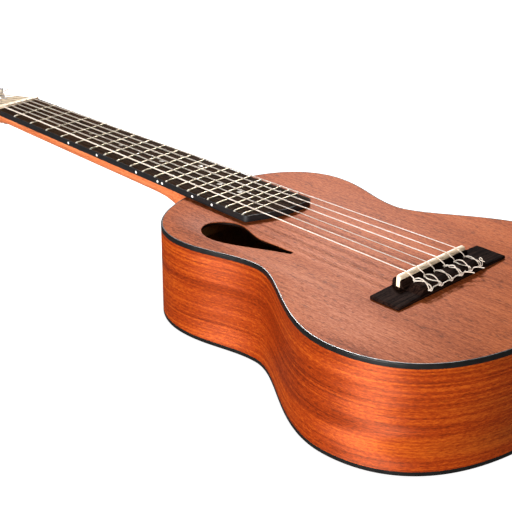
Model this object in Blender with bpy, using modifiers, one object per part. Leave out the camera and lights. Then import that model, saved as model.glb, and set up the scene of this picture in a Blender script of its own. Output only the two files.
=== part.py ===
"""Guitalele: a six-string, 433 mm scale, small-bodied guitar.

Instrument frame: x runs from the nut to the tail along the strings, y points
to the treble side, z up, with z = 0 on the top face of the soundboard.
The whole instrument hangs on one empty that lays it on its back.
Lengths below are in millimetres and are turned into metres by MM.
"""
import math

import bmesh
import bpy
from mathutils import Matrix, Vector

for old in list(bpy.data.objects):
    bpy.data.objects.remove(old, do_unlink=True)

MM = 0.001
GAP = 0.3                     # clearance between separate pieces

# ---- scale, frets and strings ------------------------------------------------
SCALE = 433.0                 # nut to saddle
FRETS = 20
BOARD_W_NUT = 41.3            # fingerboard width at the nut
BOARD_W_LAST = 53.9           # and at the last fret
BOARD_TOP = 4.43              # fingerboard face above the soundboard
FRET_INSET = 1.3              # slope of the fret ends
FRET_TOP = 0.92               # crown height
FRET_CROWN = 2.0              # crown width
STRING_DIA = (0.80, 0.90, 1.00, 0.80, 0.95, 1.10)   # strings 1 to 6
SPREAD_NUT = 29.9             # string 1 to string 6 at the nut
SPREAD_SADDLE = 48.1
STRING_Z_NUT = 5.95           # string centre at the nut
STRING_Z_SADDLE = 10.0        # and over the saddle

# ---- body --------------------------------------------------------------------
# half outline: knots (x, y) and the lengths of the handles before and after them
NECK_END = (236.8, 0.0, 0.0, 48.0)        # handle across the instrument
UPPER_BOUT = (291.6, 78.7, 33.0, 22.9)    # handles along it
WAIST = (351.0, 67.3, 20.5, 24.0)
LOWER_BOUT = (449.5, 110.3, 40.9, 34.5)
TAIL_END = (529.4, 0.0, 91.5, 0.0)
OUTLINE_STEPS = 11            # segments between two knots
TOP_T = 2.2                   # soundboard thickness
BACK_T = 2.2
SIDE_T = 2.0
BINDING_W = 1.07              # width of the binding seen from above
BINDING_H = 3.2               # its height on the side
BACK_BINDING_H = 2.9
DEPTH_400 = 71.45             # depth at the back's edge, at x = 400
DEPTH_SLOPE = 0.0231          # its taper
DEPTH_ARCH = 1.813e-4         # and its lengthwise arch
DOME_R = 2758.0               # radius of the arched back
REST_X, REST_DEPTH, REST_SLOPE = 262.0, 65.8, 0.0476   # flat that the back rests on
LINING_W, LINING_H = 5.0, 10.0
LINING_IN = 2.7              # outer face of the linings, from the outline

# ---- head and tuners ---------------------------------------------------------
HEAD_ANGLE = math.radians(13.2)
HEAD_X, HEAD_Z = -5.4, 1.4    # front edge of the head's wooden face
HEAD_T = 12.5
HEAD_LEN = 152.0
VENEER_T = 1.5
POST_S = (47.5, 83.0, 118.5)  # posts along the head
POST_Y = 18.0
POST_R = 3.0
POST_UP = 10.0                # post above the veneer
WORM_AHEAD = 7.0              # worm axis to post axis
WORM_Z = -16.65                # worm axis below the head's face
GEAR_TEETH = 14

# ---- bridge ------------------------------------------------------------------
BRIDGE_X0, BRIDGE_X1 = 431.2, 453.3
BRIDGE_HALF = 51.9
BLOCK_HALF = 31.7
WING_Z0, WING_Z1 = 3.0, 1.9   # wing height at the block and at the tip
SADDLE_X0, SADDLE_X1 = 434.9, 438.3
SADDLE_TOP = 9.15
TIE_Z = 5.8
TIE_HOLE_Z = 3.75


# ---- helpers -----------------------------------------------------------------
def collection(name):
    c = bpy.data.collections.new(name)
    bpy.context.scene.collection.children.link(c)
    return c


PARTS = collection("guitalele")
CUTTERS = collection("guitalele_cutters")


def material(name, rgb, roughness, metallic=0.0):
    m = bpy.data.materials.new(name)
    m.use_nodes = True
    b = m.node_tree.nodes["Principled BSDF"]
    lin = [((c / 255) / 12.92 if c <= 10 else ((c / 255 + 0.055) / 1.055) ** 2.4) for c in rgb]
    b.inputs["Base Color"].default_value = (*lin, 1)
    b.inputs["Roughness"].default_value = roughness
    b.inputs["Metallic"].default_value = metallic
    m.diffuse_color = (*lin, 1)
    return m


MAHOGANY_TOP = material("mahogany_top", (200, 125, 100), 0.45)
MAHOGANY_SIDE = material("mahogany_side", (205, 92, 45), 0.3)
MAHOGANY_NECK = material("mahogany_neck", (235, 120, 60), 0.35)
SPRUCE = material("inner_wood", (190, 150, 100), 0.7)
BLACK_TRIM = material("black_binding", (38, 36, 36), 0.35)
ROSEWOOD = material("dark_board", (58, 46, 38), 0.55)
PALE_VENEER = material("pale_veneer", (235, 220, 195), 0.3)
BONE = material("bone_white", (250, 228, 185), 0.35)
NYLON = material("string_white", (245, 240, 225), 0.3)
WOUND = material("string_wound", (215, 205, 185), 0.35, 0.7)
FRET_METAL = material("fret_metal", (200, 198, 190), 0.25, 1.0)
CHROME = material("tuner_chrome", (215, 215, 215), 0.12, 1.0)
BUTTON = material("tuner_button", (240, 228, 205), 0.3)


def empty(name, loc=(0, 0, 0), rot_y=0.0, parent=None):
    e = bpy.data.objects.new(name, None)
    e.empty_display_size = 0.02
    e.location = [c * MM for c in loc]
    e.rotation_euler = (0, rot_y, 0)
    e.parent = parent
    PARTS.objects.link(e)
    return e


def place(name, data, mat, parent, loc=(0, 0, 0), rot=(0, 0, 0), coll=None):
    o = bpy.data.objects.new(name, data)
    if mat and not data.materials:
        data.materials.append(mat)
    o.location = [c * MM for c in loc]
    o.rotation_euler = rot
    o.parent = parent
    (coll or PARTS).objects.link(o)
    if coll is CUTTERS:
        o.hide_render = True
        o.display_type = "WIRE"
    return o


def mesh_of(name, verts, faces, smooth=None):
    """Closed mesh from points in millimetres, faces turned outward."""
    me = bpy.data.meshes.new(name)
    me.from_pydata([[c * MM for c in v] for v in verts], [], faces)
    bm = bmesh.new()
    bm.from_mesh(me)
    bmesh.ops.recalc_face_normals(bm, faces=bm.faces)
    bm.to_mesh(me)
    bm.free()
    if smooth:
        me.shade_smooth()
        me.set_sharp_from_angle(angle=math.radians(smooth))
    return me


def loft(name, sections, closed=False, paired=False, smooth=None):
    """Skin over equal-sized sections. paired: a section is an upper row and a
    lower row, and the ends are closed by quads between the rows."""
    k = len(sections[0])
    verts = [p for s in sections for p in s]
    n = len(sections)
    faces = []
    for i in range(n if closed else n - 1):
        a, b = i * k, ((i + 1) % n) * k
        faces += [(a + j, a + (j + 1) % k, b + (j + 1) % k, b + j) for j in range(k)]
    if not closed:
        for a in (0, (n - 1) * k):
            if paired:
                h = k // 2
                faces += [(a + j, a + j + 1, a + k - 2 - j, a + k - 1 - j) for j in range(h - 1)]
            else:
                faces.append(tuple(a + j for j in range(k)))
    return mesh_of(name, verts, faces, smooth)


def prism(name, loops, z0, z1):
    """Filled 2D curve, extruded from z0 to z1; inner loops are holes."""
    c = bpy.data.curves.new(name, "CURVE")
    c.dimensions = "2D"
    c.fill_mode = "BOTH"
    c.extrude = abs(z1 - z0) / 2 * MM
    for pts in loops:
        s = c.splines.new("POLY")
        s.points.add(len(pts) - 1)
        for p, q in zip(s.points, pts):
            p.co = (q[0] * MM, q[1] * MM, 0, 1)
        s.use_cyclic_u = True
    return c, (z0 + z1) / 2


def plate(name, loops, z0, z1, mat, parent):
    c, mid = prism(name, loops, z0, z1)
    return place(name, c, mat, parent, (0, 0, mid))


def plate_mesh(name, loops, z0, z1):
    """The same, as a welded mesh in the parent's coordinates."""
    c, mid = prism(name + "_curve", loops, z0, z1)
    o = place(name + "_tmp", c, None, None, (0, 0, mid))
    bpy.context.view_layer.update()
    dg = bpy.context.evaluated_depsgraph_get()
    me = bpy.data.meshes.new_from_object(o.evaluated_get(dg))
    me.name = name
    me.transform(o.matrix_world)
    bpy.data.objects.remove(o, do_unlink=True)
    bm = bmesh.new()
    bm.from_mesh(me)
    bmesh.ops.remove_doubles(bm, verts=bm.verts, dist=1e-6)
    bmesh.ops.recalc_face_normals(bm, faces=bm.faces)
    bm.to_mesh(me)
    bm.free()
    return me


def cylinders(name, items, segments=16):
    """Several separate cylinders in one mesh: (centre, axis, radius, length)."""
    bm = bmesh.new()
    for centre, axis, r, length in items:
        rot = Vector((0, 0, 1)).rotation_difference(Vector(axis)).to_matrix().to_4x4()
        bmesh.ops.create_cone(bm, cap_ends=True, segments=segments, radius1=r * MM, radius2=r * MM,
                              depth=length * MM, matrix=Matrix.Translation(Vector(centre) * MM) @ rot)
    me = bpy.data.meshes.new(name)
    bm.to_mesh(me)
    bm.free()
    return me


def boxes(name, items):
    """Several boxes in one mesh: (low corner, high corner)."""
    bm = bmesh.new()
    for lo, hi in items:
        size = [(b - a) * MM for a, b in zip(lo, hi)]
        mid = [(a + b) / 2 * MM for a, b in zip(lo, hi)]
        bmesh.ops.create_cube(bm, size=1.0, matrix=Matrix.Translation(mid) @ Matrix.Diagonal((*size, 1)))
    me = bpy.data.meshes.new(name)
    bm.to_mesh(me)
    bm.free()
    return me


def boolean(obj, cutter, op="DIFFERENCE"):
    m = obj.modifiers.new(op.lower(), "BOOLEAN")
    m.operation = op
    m.solver = "EXACT"
    m.object = cutter


def wire(name, pts, dia, mat, parent):
    c = bpy.data.curves.new(name, "CURVE")
    c.dimensions = "3D"
    c.bevel_depth = dia / 2 * MM
    c.bevel_resolution = 2
    c.use_fill_caps = True
    s = c.splines.new("POLY")
    s.points.add(len(pts) - 1)
    for p, q in zip(s.points, pts):
        p.co = (*[v * MM for v in q], 1)
    return place(name, c, mat, parent)


def turned(name, profile, mat, parent, loc, steps=12):
    """profile: (radius, z) down the outer side, top to bottom, in millimetres."""
    me = bpy.data.meshes.new(name)
    me.from_pydata([(r * MM, 0, z * MM) for r, z in profile], [(i, i + 1) for i in range(len(profile) - 1)], [])
    o = place(name, me, mat, parent, loc)
    m = o.modifiers.new("turn", "SCREW")
    m.steps = m.render_steps = steps
    m.use_merge_vertices = True
    m.merge_threshold = 0.00001
    m.use_smooth_shade = True
    return o


def smoothstep(t):
    t = min(1.0, max(0.0, t))
    return t * t * (3 - 2 * t)


def curve_through(table, x):
    """Smooth interpolation through (x, value) pairs."""
    if x <= table[0][0]:
        return table[0][1]
    for i in range(len(table) - 1):
        x0, v0 = table[i]
        x1, v1 = table[i + 1]
        if x <= x1:
            def slope(k):
                if k == 0 or k == len(table) - 1:
                    return 0.0
                return (table[k + 1][1] - table[k - 1][1]) / (table[k + 1][0] - table[k - 1][0])
            h = x1 - x0
            t = (x - x0) / h
            s0, s1 = slope(i) * h, slope(i + 1) * h
            return ((2 * t ** 3 - 3 * t ** 2 + 1) * v0 + (t ** 3 - 2 * t ** 2 + t) * s0
                    + (-2 * t ** 3 + 3 * t ** 2) * v1 + (t ** 3 - t ** 2) * s1)
    return table[-1][1]


def bezier(p0, p1, p2, p3, steps):
    out = []
    for i in range(steps):
        t = i / steps
        a, b, c, d = (1 - t) ** 3, 3 * (1 - t) ** 2 * t, 3 * (1 - t) * t * t, t ** 3
        out.append((a * p0[0] + b * p1[0] + c * p2[0] + d * p3[0], a * p0[1] + b * p1[1] + c * p2[1] + d * p3[1]))
    return out


# ---- the body's outline ------------------------------------------------------
def half_outline(steps=OUTLINE_STEPS):
    """Treble half, from the neck end (y = 0) to the tail (y = 0)."""
    n, u, w, lo, t = NECK_END, UPPER_BOUT, WAIST, LOWER_BOUT, TAIL_END
    pts = bezier(n[:2], (n[0], n[3]), (u[0] - u[2], u[1]), u[:2], steps)
    pts += bezier(u[:2], (u[0] + u[3], u[1]), (w[0] - w[2], w[1]), w[:2], steps - 3)
    pts += bezier(w[:2], (w[0] + w[3], w[1]), (lo[0] - lo[2], lo[1]), lo[:2], steps)
    pts += bezier(lo[:2], (lo[0] + lo[3], lo[1]), (t[0], t[2]), t[:2], steps + 3)
    return pts + [t[:2]]


def inset_half(d, steps=OUTLINE_STEPS):
    """Half outline moved inward by d along its normal."""
    pts = half_outline(steps)
    out = []
    for i, (x, y) in enumerate(pts):
        if i == 0:
            out.append((x + d, 0.0))
        elif i == len(pts) - 1:
            out.append((x - d, 0.0))
        else:
            tx, ty = pts[i + 1][0] - pts[i - 1][0], pts[i + 1][1] - pts[i - 1][1]
            k = math.hypot(tx, ty)
            out.append((x + d * ty / k, y - d * tx / k))
    return out


def full_loop(d, steps=OUTLINE_STEPS):
    h = inset_half(d, steps)
    return h + [(x, -y) for x, y in reversed(h[1:-1])]


FINE_HALF = half_outline(60)


def half_width(x, d=0.0):
    """Half width of the body at x, at an inset of d."""
    pts = FINE_HALF
    best = 0.0
    for (x0, y0), (x1, y1) in zip(pts, pts[1:]):
        if x0 <= x <= x1:
            t = (x - x0) / (x1 - x0) if x1 > x0 else 0.0
            k = (y1 - y0) / max(x1 - x0, 1e-6)
            best = y0 + t * (y1 - y0) - d * math.hypot(1, k)
    return max(best, 0.0)


def front_x(y):
    """x of the body's neck end at a distance y from the middle."""
    y = abs(y)
    for (x0, y0), (x1, y1) in zip(FINE_HALF, FINE_HALF[1:]):
        if y0 <= y <= y1:
            return x0 + (x1 - x0) * (y - y0) / (y1 - y0)
    return FINE_HALF[0][0]


def tail_x(y):
    """x of the tail at a distance y from the middle."""
    y = abs(y)
    for (x0, y0), (x1, y1) in zip(FINE_HALF[::-1], FINE_HALF[-2::-1]):
        if y0 <= y <= y1:
            return x0 + (x1 - x0) * (y - y0) / (y1 - y0)
    return FINE_HALF[-1][0]


def edge_depth(x):
    return DEPTH_400 + DEPTH_SLOPE * (x - 400) - DEPTH_ARCH * (x - 400) ** 2


def rest_depth(x):
    return REST_DEPTH + REST_SLOPE * (x - REST_X)


def back_depth(x, y):
    """Outer face of the back below the soundboard: a shallow dome with a flat."""
    w = half_width(x)
    sag = max(0.0, w * w - y * y) / (2 * DOME_R)
    return min(edge_depth(x) + sag, rest_depth(x))


# ---- empties that carry the pieces -------------------------------------------
PITCH = math.atan(REST_SLOPE)
head_tip_x = HEAD_X - HEAD_LEN * math.cos(HEAD_ANGLE)


def lay(x, z):
    """Instrument x, z to world x, z, before the shift to the origin."""
    return x * math.cos(PITCH) - z * math.sin(PITCH), x * math.sin(PITCH) + z * math.cos(PITCH)


tail_at = lay(TAIL_END[0], -edge_depth(TAIL_END[0]))[0]
tip_x = lay(head_tip_x, HEAD_Z - HEAD_LEN * math.sin(HEAD_ANGLE))[0]
low_z = lay(REST_X, -REST_DEPTH)[1]
FRAME = empty("guitalele_frame", (-(tail_at + tip_x) / 2, 0, -low_z), -PITCH)
HEAD = empty("head_frame", (HEAD_X, 0, HEAD_Z), -HEAD_ANGLE, FRAME)

# ---- soundboard, with its drop-shaped soundhole on the bass side ---------------
HOLE_KNOTS = (
    # x, y, handle in (dx, dy), handle out (dx, dy)
    (284.0, -46.5, (0.6, 6.2), (-0.4, -8.2)),
    (303.0, -61.7, (-10.0, 0.0), (15.0, 0.0)),
    (355.7, -39.6, (-16.0, -7.0), (-1.2, 3.6)),
    (334.0, -39.2, (10.5, 1.8), (-12.5, -2.0)),
    (301.0, -32.0, (8.0, 0.0), (-9.5, 0.0)),
)


def hole_loop(grow=0.0):
    pts = []
    n = len(HOLE_KNOTS)
    for i in range(n):
        x, y, _, out = HOLE_KNOTS[i]
        x2, y2, into, _ = HOLE_KNOTS[(i + 1) % n]
        pts += bezier((x, y), (x + out[0], y + out[1]), (x2 + into[0], y2 + into[1]), (x2, y2), 8 if i != 2 else 6)
    if grow:
        m = len(pts)
        moved = []
        for i in range(m):
            a, b = pts[i - 1], pts[(i + 1) % m]
            tx, ty = b[0] - a[0], b[1] - a[1]
            k = math.hypot(tx, ty)
            moved.append((pts[i][0] + grow * ty / k, pts[i][1] - grow * tx / k))
        pts = moved
    return pts


plate("soundboard", [full_loop(BINDING_W + GAP), hole_loop()], -TOP_T, 0.0, MAHOGANY_TOP, FRAME)
plate("binding_top", [full_loop(0.0), full_loop(BINDING_W)], -BINDING_H, 0.0, BLACK_TRIM, FRAME)
plate("lining_top", [full_loop(LINING_IN, 8), full_loop(LINING_IN + LINING_W, 8)],
      -TOP_T - GAP - LINING_H, -TOP_T - GAP, SPRUCE, FRAME)


# ---- sides, back binding and back lining: bands that follow the back's edge ----
def band(name, outer, inner, top, bottom, closed, mat, smooth=40):
    """outer, inner: rings of (x, y); top, bottom: functions of x."""
    rings = [[(xo, yo, top(xo)), (xo, yo, bottom(xo)), (xi, yi, bottom(xo)), (xi, yi, top(xo))]
             for (xo, yo), (xi, yi) in zip(outer, inner)]
    return place(name, loft(name, rings, closed, smooth=smooth), mat, FRAME)


def side_ring(d, sign):
    ring = inset_half(d)
    ring[0] = (ring[0][0], GAP / 2)
    ring[-1] = (ring[-1][0], GAP / 2)
    return [(x, sign * y) for x, y in ring]


for side, sign in (("side_bass", -1), ("side_treble", 1)):
    band(side, side_ring(0.0, sign), side_ring(SIDE_T, sign), lambda x: -BINDING_H - GAP,
         lambda x: -edge_depth(x) + BACK_BINDING_H + GAP, False, MAHOGANY_SIDE)
band("binding_back", full_loop(0.0), full_loop(BINDING_W), lambda x: -edge_depth(x) + BACK_BINDING_H,
     lambda x: -edge_depth(x), True, BLACK_TRIM)
band("lining_back", full_loop(LINING_IN, 8), full_loop(LINING_IN + LINING_W, 8),
     lambda x: -edge_depth(x) + BACK_T + GAP + LINING_H, lambda x: -edge_depth(x) + BACK_T + GAP, True, SPRUCE)


# ---- back: a domed plate with a flat that the instrument rests on --------------
def back_plate():
    cols = 9
    stations = inset_half(BINDING_W + GAP, 9)
    verts, rows = [], []
    for i, (x, w) in enumerate(stations):
        if i in (0, len(stations) - 1):
            rows.append([len(verts)])
            verts.append((x, 0.0, -edge_depth(x)))
            continue
        rows.append(list(range(len(verts), len(verts) + cols)))
        for j in range(cols):
            t = -1 + 2 * j / (cols - 1)
            y = w * (t if abs(t) < 1 else math.copysign(1, t))
            z = -edge_depth(x) if abs(t) == 1 else -back_depth(x, y)
            verts.append((x, y, z))
    n = len(verts)
    verts += [(x, y, z + BACK_T) for x, y, z in verts]
    faces = []
    for a, b in zip(rows, rows[1:]):
        if len(a) == 1:
            quads = [(a[0], b[j], b[j + 1]) for j in range(cols - 1)]
            rim = [(a[0], b[0]), (b[-1], a[0])]
        elif len(b) == 1:
            quads = [(a[j], b[0], a[j + 1]) for j in range(cols - 1)]
            rim = [(a[0], b[0]), (b[0], a[-1])]
        else:
            quads = [(a[j], b[j], b[j + 1], a[j + 1]) for j in range(cols - 1)]
            rim = [(a[0], b[0]), (b[-1], a[-1])]
        faces += quads
        faces += [tuple(v + n for v in reversed(q)) for q in quads]
        faces += [(p, q, q + n, p + n) for p, q in rim]
    return mesh_of("back", verts, faces)


place("back", back_plate(), MAHOGANY_SIDE, FRAME)


# ---- blocks, braces and plates inside the body ---------------------------------
def xz_bar(name, profile, y0, y1, mat):
    """A profile in x and z, carried across the instrument from y0 to y1."""
    return place(name, loft(name, [[(x, y, z) for x, z in profile] for y in (y0, y1)]), mat, FRAME)


block_top = -TOP_T - GAP
neck_in = front_x(29.0) + SIDE_T + GAP
step = LINING_IN - SIDE_T + LINING_W + 1.2
low_neck = -edge_depth(neck_in) + BACK_T + GAP
xz_bar("neck_block", [(neck_in + step, block_top), (266.0, block_top), (266.0, low_neck), (neck_in + step, low_neck),
                      (neck_in + step, low_neck + LINING_H + GAP), (neck_in, low_neck + LINING_H + GAP),
                      (neck_in, block_top - LINING_H - GAP), (neck_in + step, block_top - LINING_H - GAP)],
       -29.0, 29.0, SPRUCE)
tail_in = tail_x(29.0) - SIDE_T - GAP
low_tail = -edge_depth(TAIL_END[0]) + BACK_T + GAP
xz_bar("tail_block", [(tail_in - step, block_top), (508.0, block_top), (508.0, low_tail), (tail_in - step, low_tail),
                      (tail_in - step, low_tail + LINING_H + GAP), (tail_in, low_tail + LINING_H + GAP),
                      (tail_in, block_top - LINING_H - GAP), (tail_in - step, block_top - LINING_H - GAP)],
       -27.0, 27.0, SPRUCE)


def top_brace(name, x, width, height):
    """Bar across the soundboard's underside, with scalloped ends."""
    reach = min(half_width(x - width / 2, LINING_IN + 2 * GAP + LINING_W), half_width(x + width / 2, LINING_IN + 2 * GAP + LINING_W)) - 0.5
    ys = [-reach, -reach + 14, reach - 14, reach]
    hs = [2.5, height, height, 2.5]
    rings = [[(x - width / 2, y, block_top), (x + width / 2, y, block_top),
              (x + width / 2 * 0.7, y, block_top - h), (x - width / 2 * 0.7, y, block_top - h)] for y, h in zip(ys, hs)]
    place(name, loft(name, rings), SPRUCE, FRAME)


top_brace("brace_upper", 275.5, 7.0, 10.0)
top_brace("brace_lower", 377.0, 7.0, 10.0)
place("bridge_plate", boxes("bridge_plate", [((424.0, -58.0, block_top - 2.2), (462.0, 58.0, block_top))]), SPRUCE, FRAME)


def inner_back(x, y):
    return -back_depth(x, y) + BACK_T + GAP


def back_bracing():
    """Centre strip with three braces across it, one glued frame."""
    xs = [268.5 + i * (505.5 - 268.5) / 10 for i in range(11)]
    strip = [[(x, -9.0, inner_back(x, 9.0) + 0.1), (x, 9.0, inner_back(x, 9.0) + 0.1), (x, 9.0, inner_back(x, 0) + 2.8),
              (x, -9.0, inner_back(x, 0) + 2.8)] for x in xs]
    o = place("back_bracing", loft("back_bracing", strip), SPRUCE, FRAME)
    for k, x in enumerate((305.0, 388.0, 470.0)):
        reach = min(half_width(x - 3.5, LINING_IN + 2 * GAP + LINING_W), half_width(x + 3.5, LINING_IN + 2 * GAP + LINING_W)) - 1.5
        rings = []
        for i in range(9):
            y = -reach + 2 * reach * i / 8
            h = 3.0 if i in (0, 8) else 11.0
            z = max(inner_back(x - 3.5, y), inner_back(x + 3.5, y)) + 0.25
            rings.append([(x - 3.5, y, z), (x + 3.5, y, z), (x + 2.2, y, z + h), (x - 2.2, y, z + h)])
        cutter = place("back_brace_%d" % (k + 1), loft("back_brace_%d" % (k + 1), rings), None, FRAME, coll=CUTTERS)
        boolean(o, cutter, "UNION")


back_bracing()

# ---- neck: shaft, heel and head in one piece of wood ---------------------------
NECK_DEPTH = ((-48.0, 19.0), (-30.0, 17.2), (-15.0, 15.0), (-5.0, 13.0), (8.0, 11.8), (30.0, 12.2), (120.0, 13.7),
              (196.0, 14.8), (206.0, 15.6), (212.0, 17.0), (216.0, 19.6), (219.0, 23.6), (221.5, 29.5), (223.5, 37.0),
              (225.5, 46.0), (227.5, 55.0), (229.2, 62.0))
HEEL_X, HEEL_CAP = 229.2, 0.35
ROW = 13


def board_half(x):
    return (BOARD_W_NUT + (BOARD_W_LAST - BOARD_W_NUT) * x / fret_x(FRETS)) / 2


def fret_x(n):
    return SCALE * (1 - 2 ** (-n / 12))


def head_half(s):
    """Half width of the head at a distance s behind the nut."""
    return curve_through(((0, 20.7), (10, 21.6), (24, 26.2), (36, 28.6), (60, 28.7), (100, 29.6), (140, 30.6), (152, 30.8)), s)


def head_crown(y):
    """Length of the head at a distance y from its middle line."""
    t = min(1.0, abs(y) / 30.8)
    return HEAD_LEN - 3.5 * t * t - 5.0 * max(0.0, t - 0.82) ** 1.5 / 0.18 ** 1.5


def neck_section(x):
    w = board_half(max(x, 0.0))
    d = curve_through(NECK_DEPTH, x)
    heel = smoothstep((d - 15.5) / 30)
    n = 2.0
    if x > 150.0:      # the heel is drawn to a rounded keel
        n += 0.6 * smoothstep((d - 32.0) / 30) - 0.4 * smoothstep((d - 15.0) / 12)
    top, low = [], []
    for j in range(ROW):
        a = math.pi * j / (ROW - 1)
        c, s = math.cos(a), math.sin(a)
        y = -w * math.copysign(abs(c) ** (2 / n), c)
        z = -d * max(s, 0.0) ** (2 / n)
        narrow = 1 - 0.30 * heel * smoothstep(-z / 60)
        top.append((x, -w * math.cos(a), 0.0))
        low.append((x, y * narrow, min(z, -0.9)))
    return top, low, d


def neck_mesh():
    rings = []
    # head, from its crown to the nut
    for s in (999, 146.0, 128.0, 104.0, 80.0, 60.0, 44.0, 34.0, 26.0, 18.0, 11.0, 5.0, 0.02):
        hs = min(s, HEAD_LEN)
        w = head_half(hs)
        m = smoothstep(hs / 40.0)
        ring_t, ring_l = [], []
        x0 = HEAD_X - min(s, 146.0) * math.cos(HEAD_ANGLE)
        _, low, _ = neck_section(x0 if s < 60 else -48.0)
        for j in range(ROW):
            t = -math.cos(math.pi * j / (ROW - 1))
            y = w * t
            sj = head_crown(y) if s == 999 else hs
            if s == 146.0:
                sj = min(hs, head_crown(y) - 3.0)
            ring_t.append((HEAD_X - sj * math.cos(HEAD_ANGLE), y, HEAD_Z - sj * math.sin(HEAD_ANGLE)))
            edge = 1.4 if j in (0, ROW - 1) else 0.0
            zl = -HEAD_T + edge
            flat = (HEAD_X - sj * math.cos(HEAD_ANGLE) - zl * math.sin(HEAD_ANGLE), y * (1.0 if edge else 0.985),
                    HEAD_Z - sj * math.sin(HEAD_ANGLE) + zl * math.cos(HEAD_ANGLE))
            xn, yn, zn = low[j]
            ring_l.append(((1 - m) * (x0 + 0.0) + m * flat[0], (1 - m) * yn + m * flat[1], (1 - m) * zn + m * flat[2]))
        rings.append(ring_t + ring_l[::-1])
    # shaft and heel
    xs = [-5.1, 0.0, 6.0, 14.0, 30.0, 70.0, 120.0, 165.0, 190.0, 200.0, 206.0, 210.0, 213.5, 216.5, 219.0, 221.5, 223.5, 225.5, 227.5, HEEL_X]
    for x in xs:
        top, low, d = neck_section(x)
        if x == HEEL_X:
            low = [(px, py, pz * 64.0 / d) for px, py, pz in low]
        rings.append(top + low[::-1])
    # heel's foot, up to the body
    for f in (0.5, 1.0):
        top, low, d = neck_section(HEEL_X)
        ring = []
        for x, y, z in top + [(px, py, pz * 64.0 / d) for px, py, pz in low][::-1]:
            end = front_x(y) - GAP
            ring.append((HEEL_X + (end - HEEL_X) * f, y * (1 + 0.03 * f), z))
        rings.append(ring)
    # flat heel cap, level with the back
    out = []
    for r in rings:
        out.append([(x, y, max(z, -rest_depth(x) + HEEL_CAP) if x > 215 else z) for x, y, z in r])
    return loft("neck", out, paired=True, smooth=38)


neck = place("neck", neck_mesh(), MAHOGANY_NECK, FRAME)
post_holes = place("post_holes", cylinders("post_holes", [((-s, y, -6.0), (0, 0, 1), POST_R + 0.5, 24.0)
                                                         for s in POST_S for y in (-POST_Y, POST_Y)]),
                   None, HEAD, coll=CUTTERS)
boolean(neck, post_holes)


def circle(x, y, r, n=16):
    return [(x + r * math.cos(2 * math.pi * i / n), y + r * math.sin(2 * math.pi * i / n)) for i in range(n)]


def head_loop():
    ss = [GAP, 5, 11, 18, 26, 34, 44, 60, 80, 104, 128]
    right = [(-s, head_half(s)) for s in ss]
    crown = []
    for i in range(13):
        y = 30.7 * math.cos(math.pi * i / 12)
        crown.append((-head_crown(y), y))
    return right + crown + [(x, -y) for x, y in reversed(right)]


plate("head_veneer", [head_loop()] + [circle(-s, y, 4.3) for s in POST_S for y in (-POST_Y, POST_Y)],
      GAP, GAP + VENEER_T, PALE_VENEER, HEAD)


# ---- fingerboard, with a slot for each fret ------------------------------------
def board_mesh():
    end = 313.0
    slot, deep = 0.55, 2.1
    prof = [(0.0, GAP), (0.0, BOARD_TOP)]
    for n in range(1, FRETS + 1):
        x = fret_x(n)
        prof += [(x - slot, BOARD_TOP), (x - slot, BOARD_TOP - deep), (x + slot, BOARD_TOP - deep), (x + slot, BOARD_TOP)]
    prof += [(end, BOARD_TOP), (end, GAP)]
    return loft("fingerboard", [[(x, sg * board_half(x), z) for x, z in prof] for sg in (-1, 1)])


def board_end():
    """Curve of the fingerboard's end, cut away on the bass side towards the soundhole."""
    pts = [(308.2, 30.0)] + bezier((308.2, 27.4), (310.8, 23.0), (311.4, 12.0), (310.4, 5.0), 5)
    return pts + bezier((310.4, 5.0), (308.6, -8.0), (302.0, -17.0), (294.0, -30.0), 8) + [(294.0, -32.0)]


board = place("fingerboard", board_mesh(), ROSEWOOD, FRAME)
end_cut = place("board_end_cut", plate_mesh("board_end_cut", [board_end() + [(330.0, -32.0), (330.0, 30.0)]], -2.0, 8.0),
                None, FRAME, coll=CUTTERS)
boolean(board, end_cut)


def fret_mesh(n):
    x = fret_x(n)
    half = board_half(x) - 0.2
    c, t, base = FRET_CROWN / 2, 0.25, BOARD_TOP + 0.12
    prof = [(-t, base - 1.7), (-t, base), (-c, base + 0.02), (-c * 0.78, base + FRET_TOP * 0.55), (-c * 0.3, base + FRET_TOP * 0.95),
            (c * 0.3, base + FRET_TOP * 0.95), (c * 0.78, base + FRET_TOP * 0.55), (c, base + 0.02), (t, base), (t, base - 1.7)]
    rings = []
    for sg in (-1, 1):
        rings.append([(x + px, sg * (half - FRET_INSET * max(0.0, (z - base) / FRET_TOP)), z) for px, z in prof])
    return loft("fret_%02d" % n, rings)


for n in range(1, FRETS + 1):
    place("fret_%02d" % n, fret_mesh(n), FRET_METAL, FRAME)


# ---- nut, with a slot for each string ------------------------------------------
def string_y(k, x):
    """Side position of string k (1 treble to 6 bass) at x."""
    spread = SPREAD_NUT + (SPREAD_SADDLE - SPREAD_NUT) * x / SCALE
    return spread * (0.5 - (k - 1) / 5)


def string_z(x):
    return STRING_Z_NUT + (STRING_Z_SADDLE - STRING_Z_NUT) * x / SCALE


def nut_mesh():
    x0, x1 = -4.9, -GAP
    top = 6.35
    line = [(-BOARD_W_NUT / 2, GAP), (-BOARD_W_NUT / 2, top - 0.5), (-BOARD_W_NUT / 2 + 0.6, top)]
    for k in range(6, 0, -1):
        y, r = string_y(k, -2.5), STRING_DIA[k - 1] / 2
        low = STRING_Z_NUT - r - GAP
        line += [(y - r - 0.3, top), (y - r - 0.3, low), (y + r + 0.3, low), (y + r + 0.3, top)]
    line += [(BOARD_W_NUT / 2 - 0.6, top), (BOARD_W_NUT / 2, top - 0.5), (BOARD_W_NUT / 2, GAP)]
    return loft("nut", [[(x, y, z) for y, z in line] for x in (x0, x1)])


place("nut", nut_mesh(), BONE, FRAME)


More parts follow.
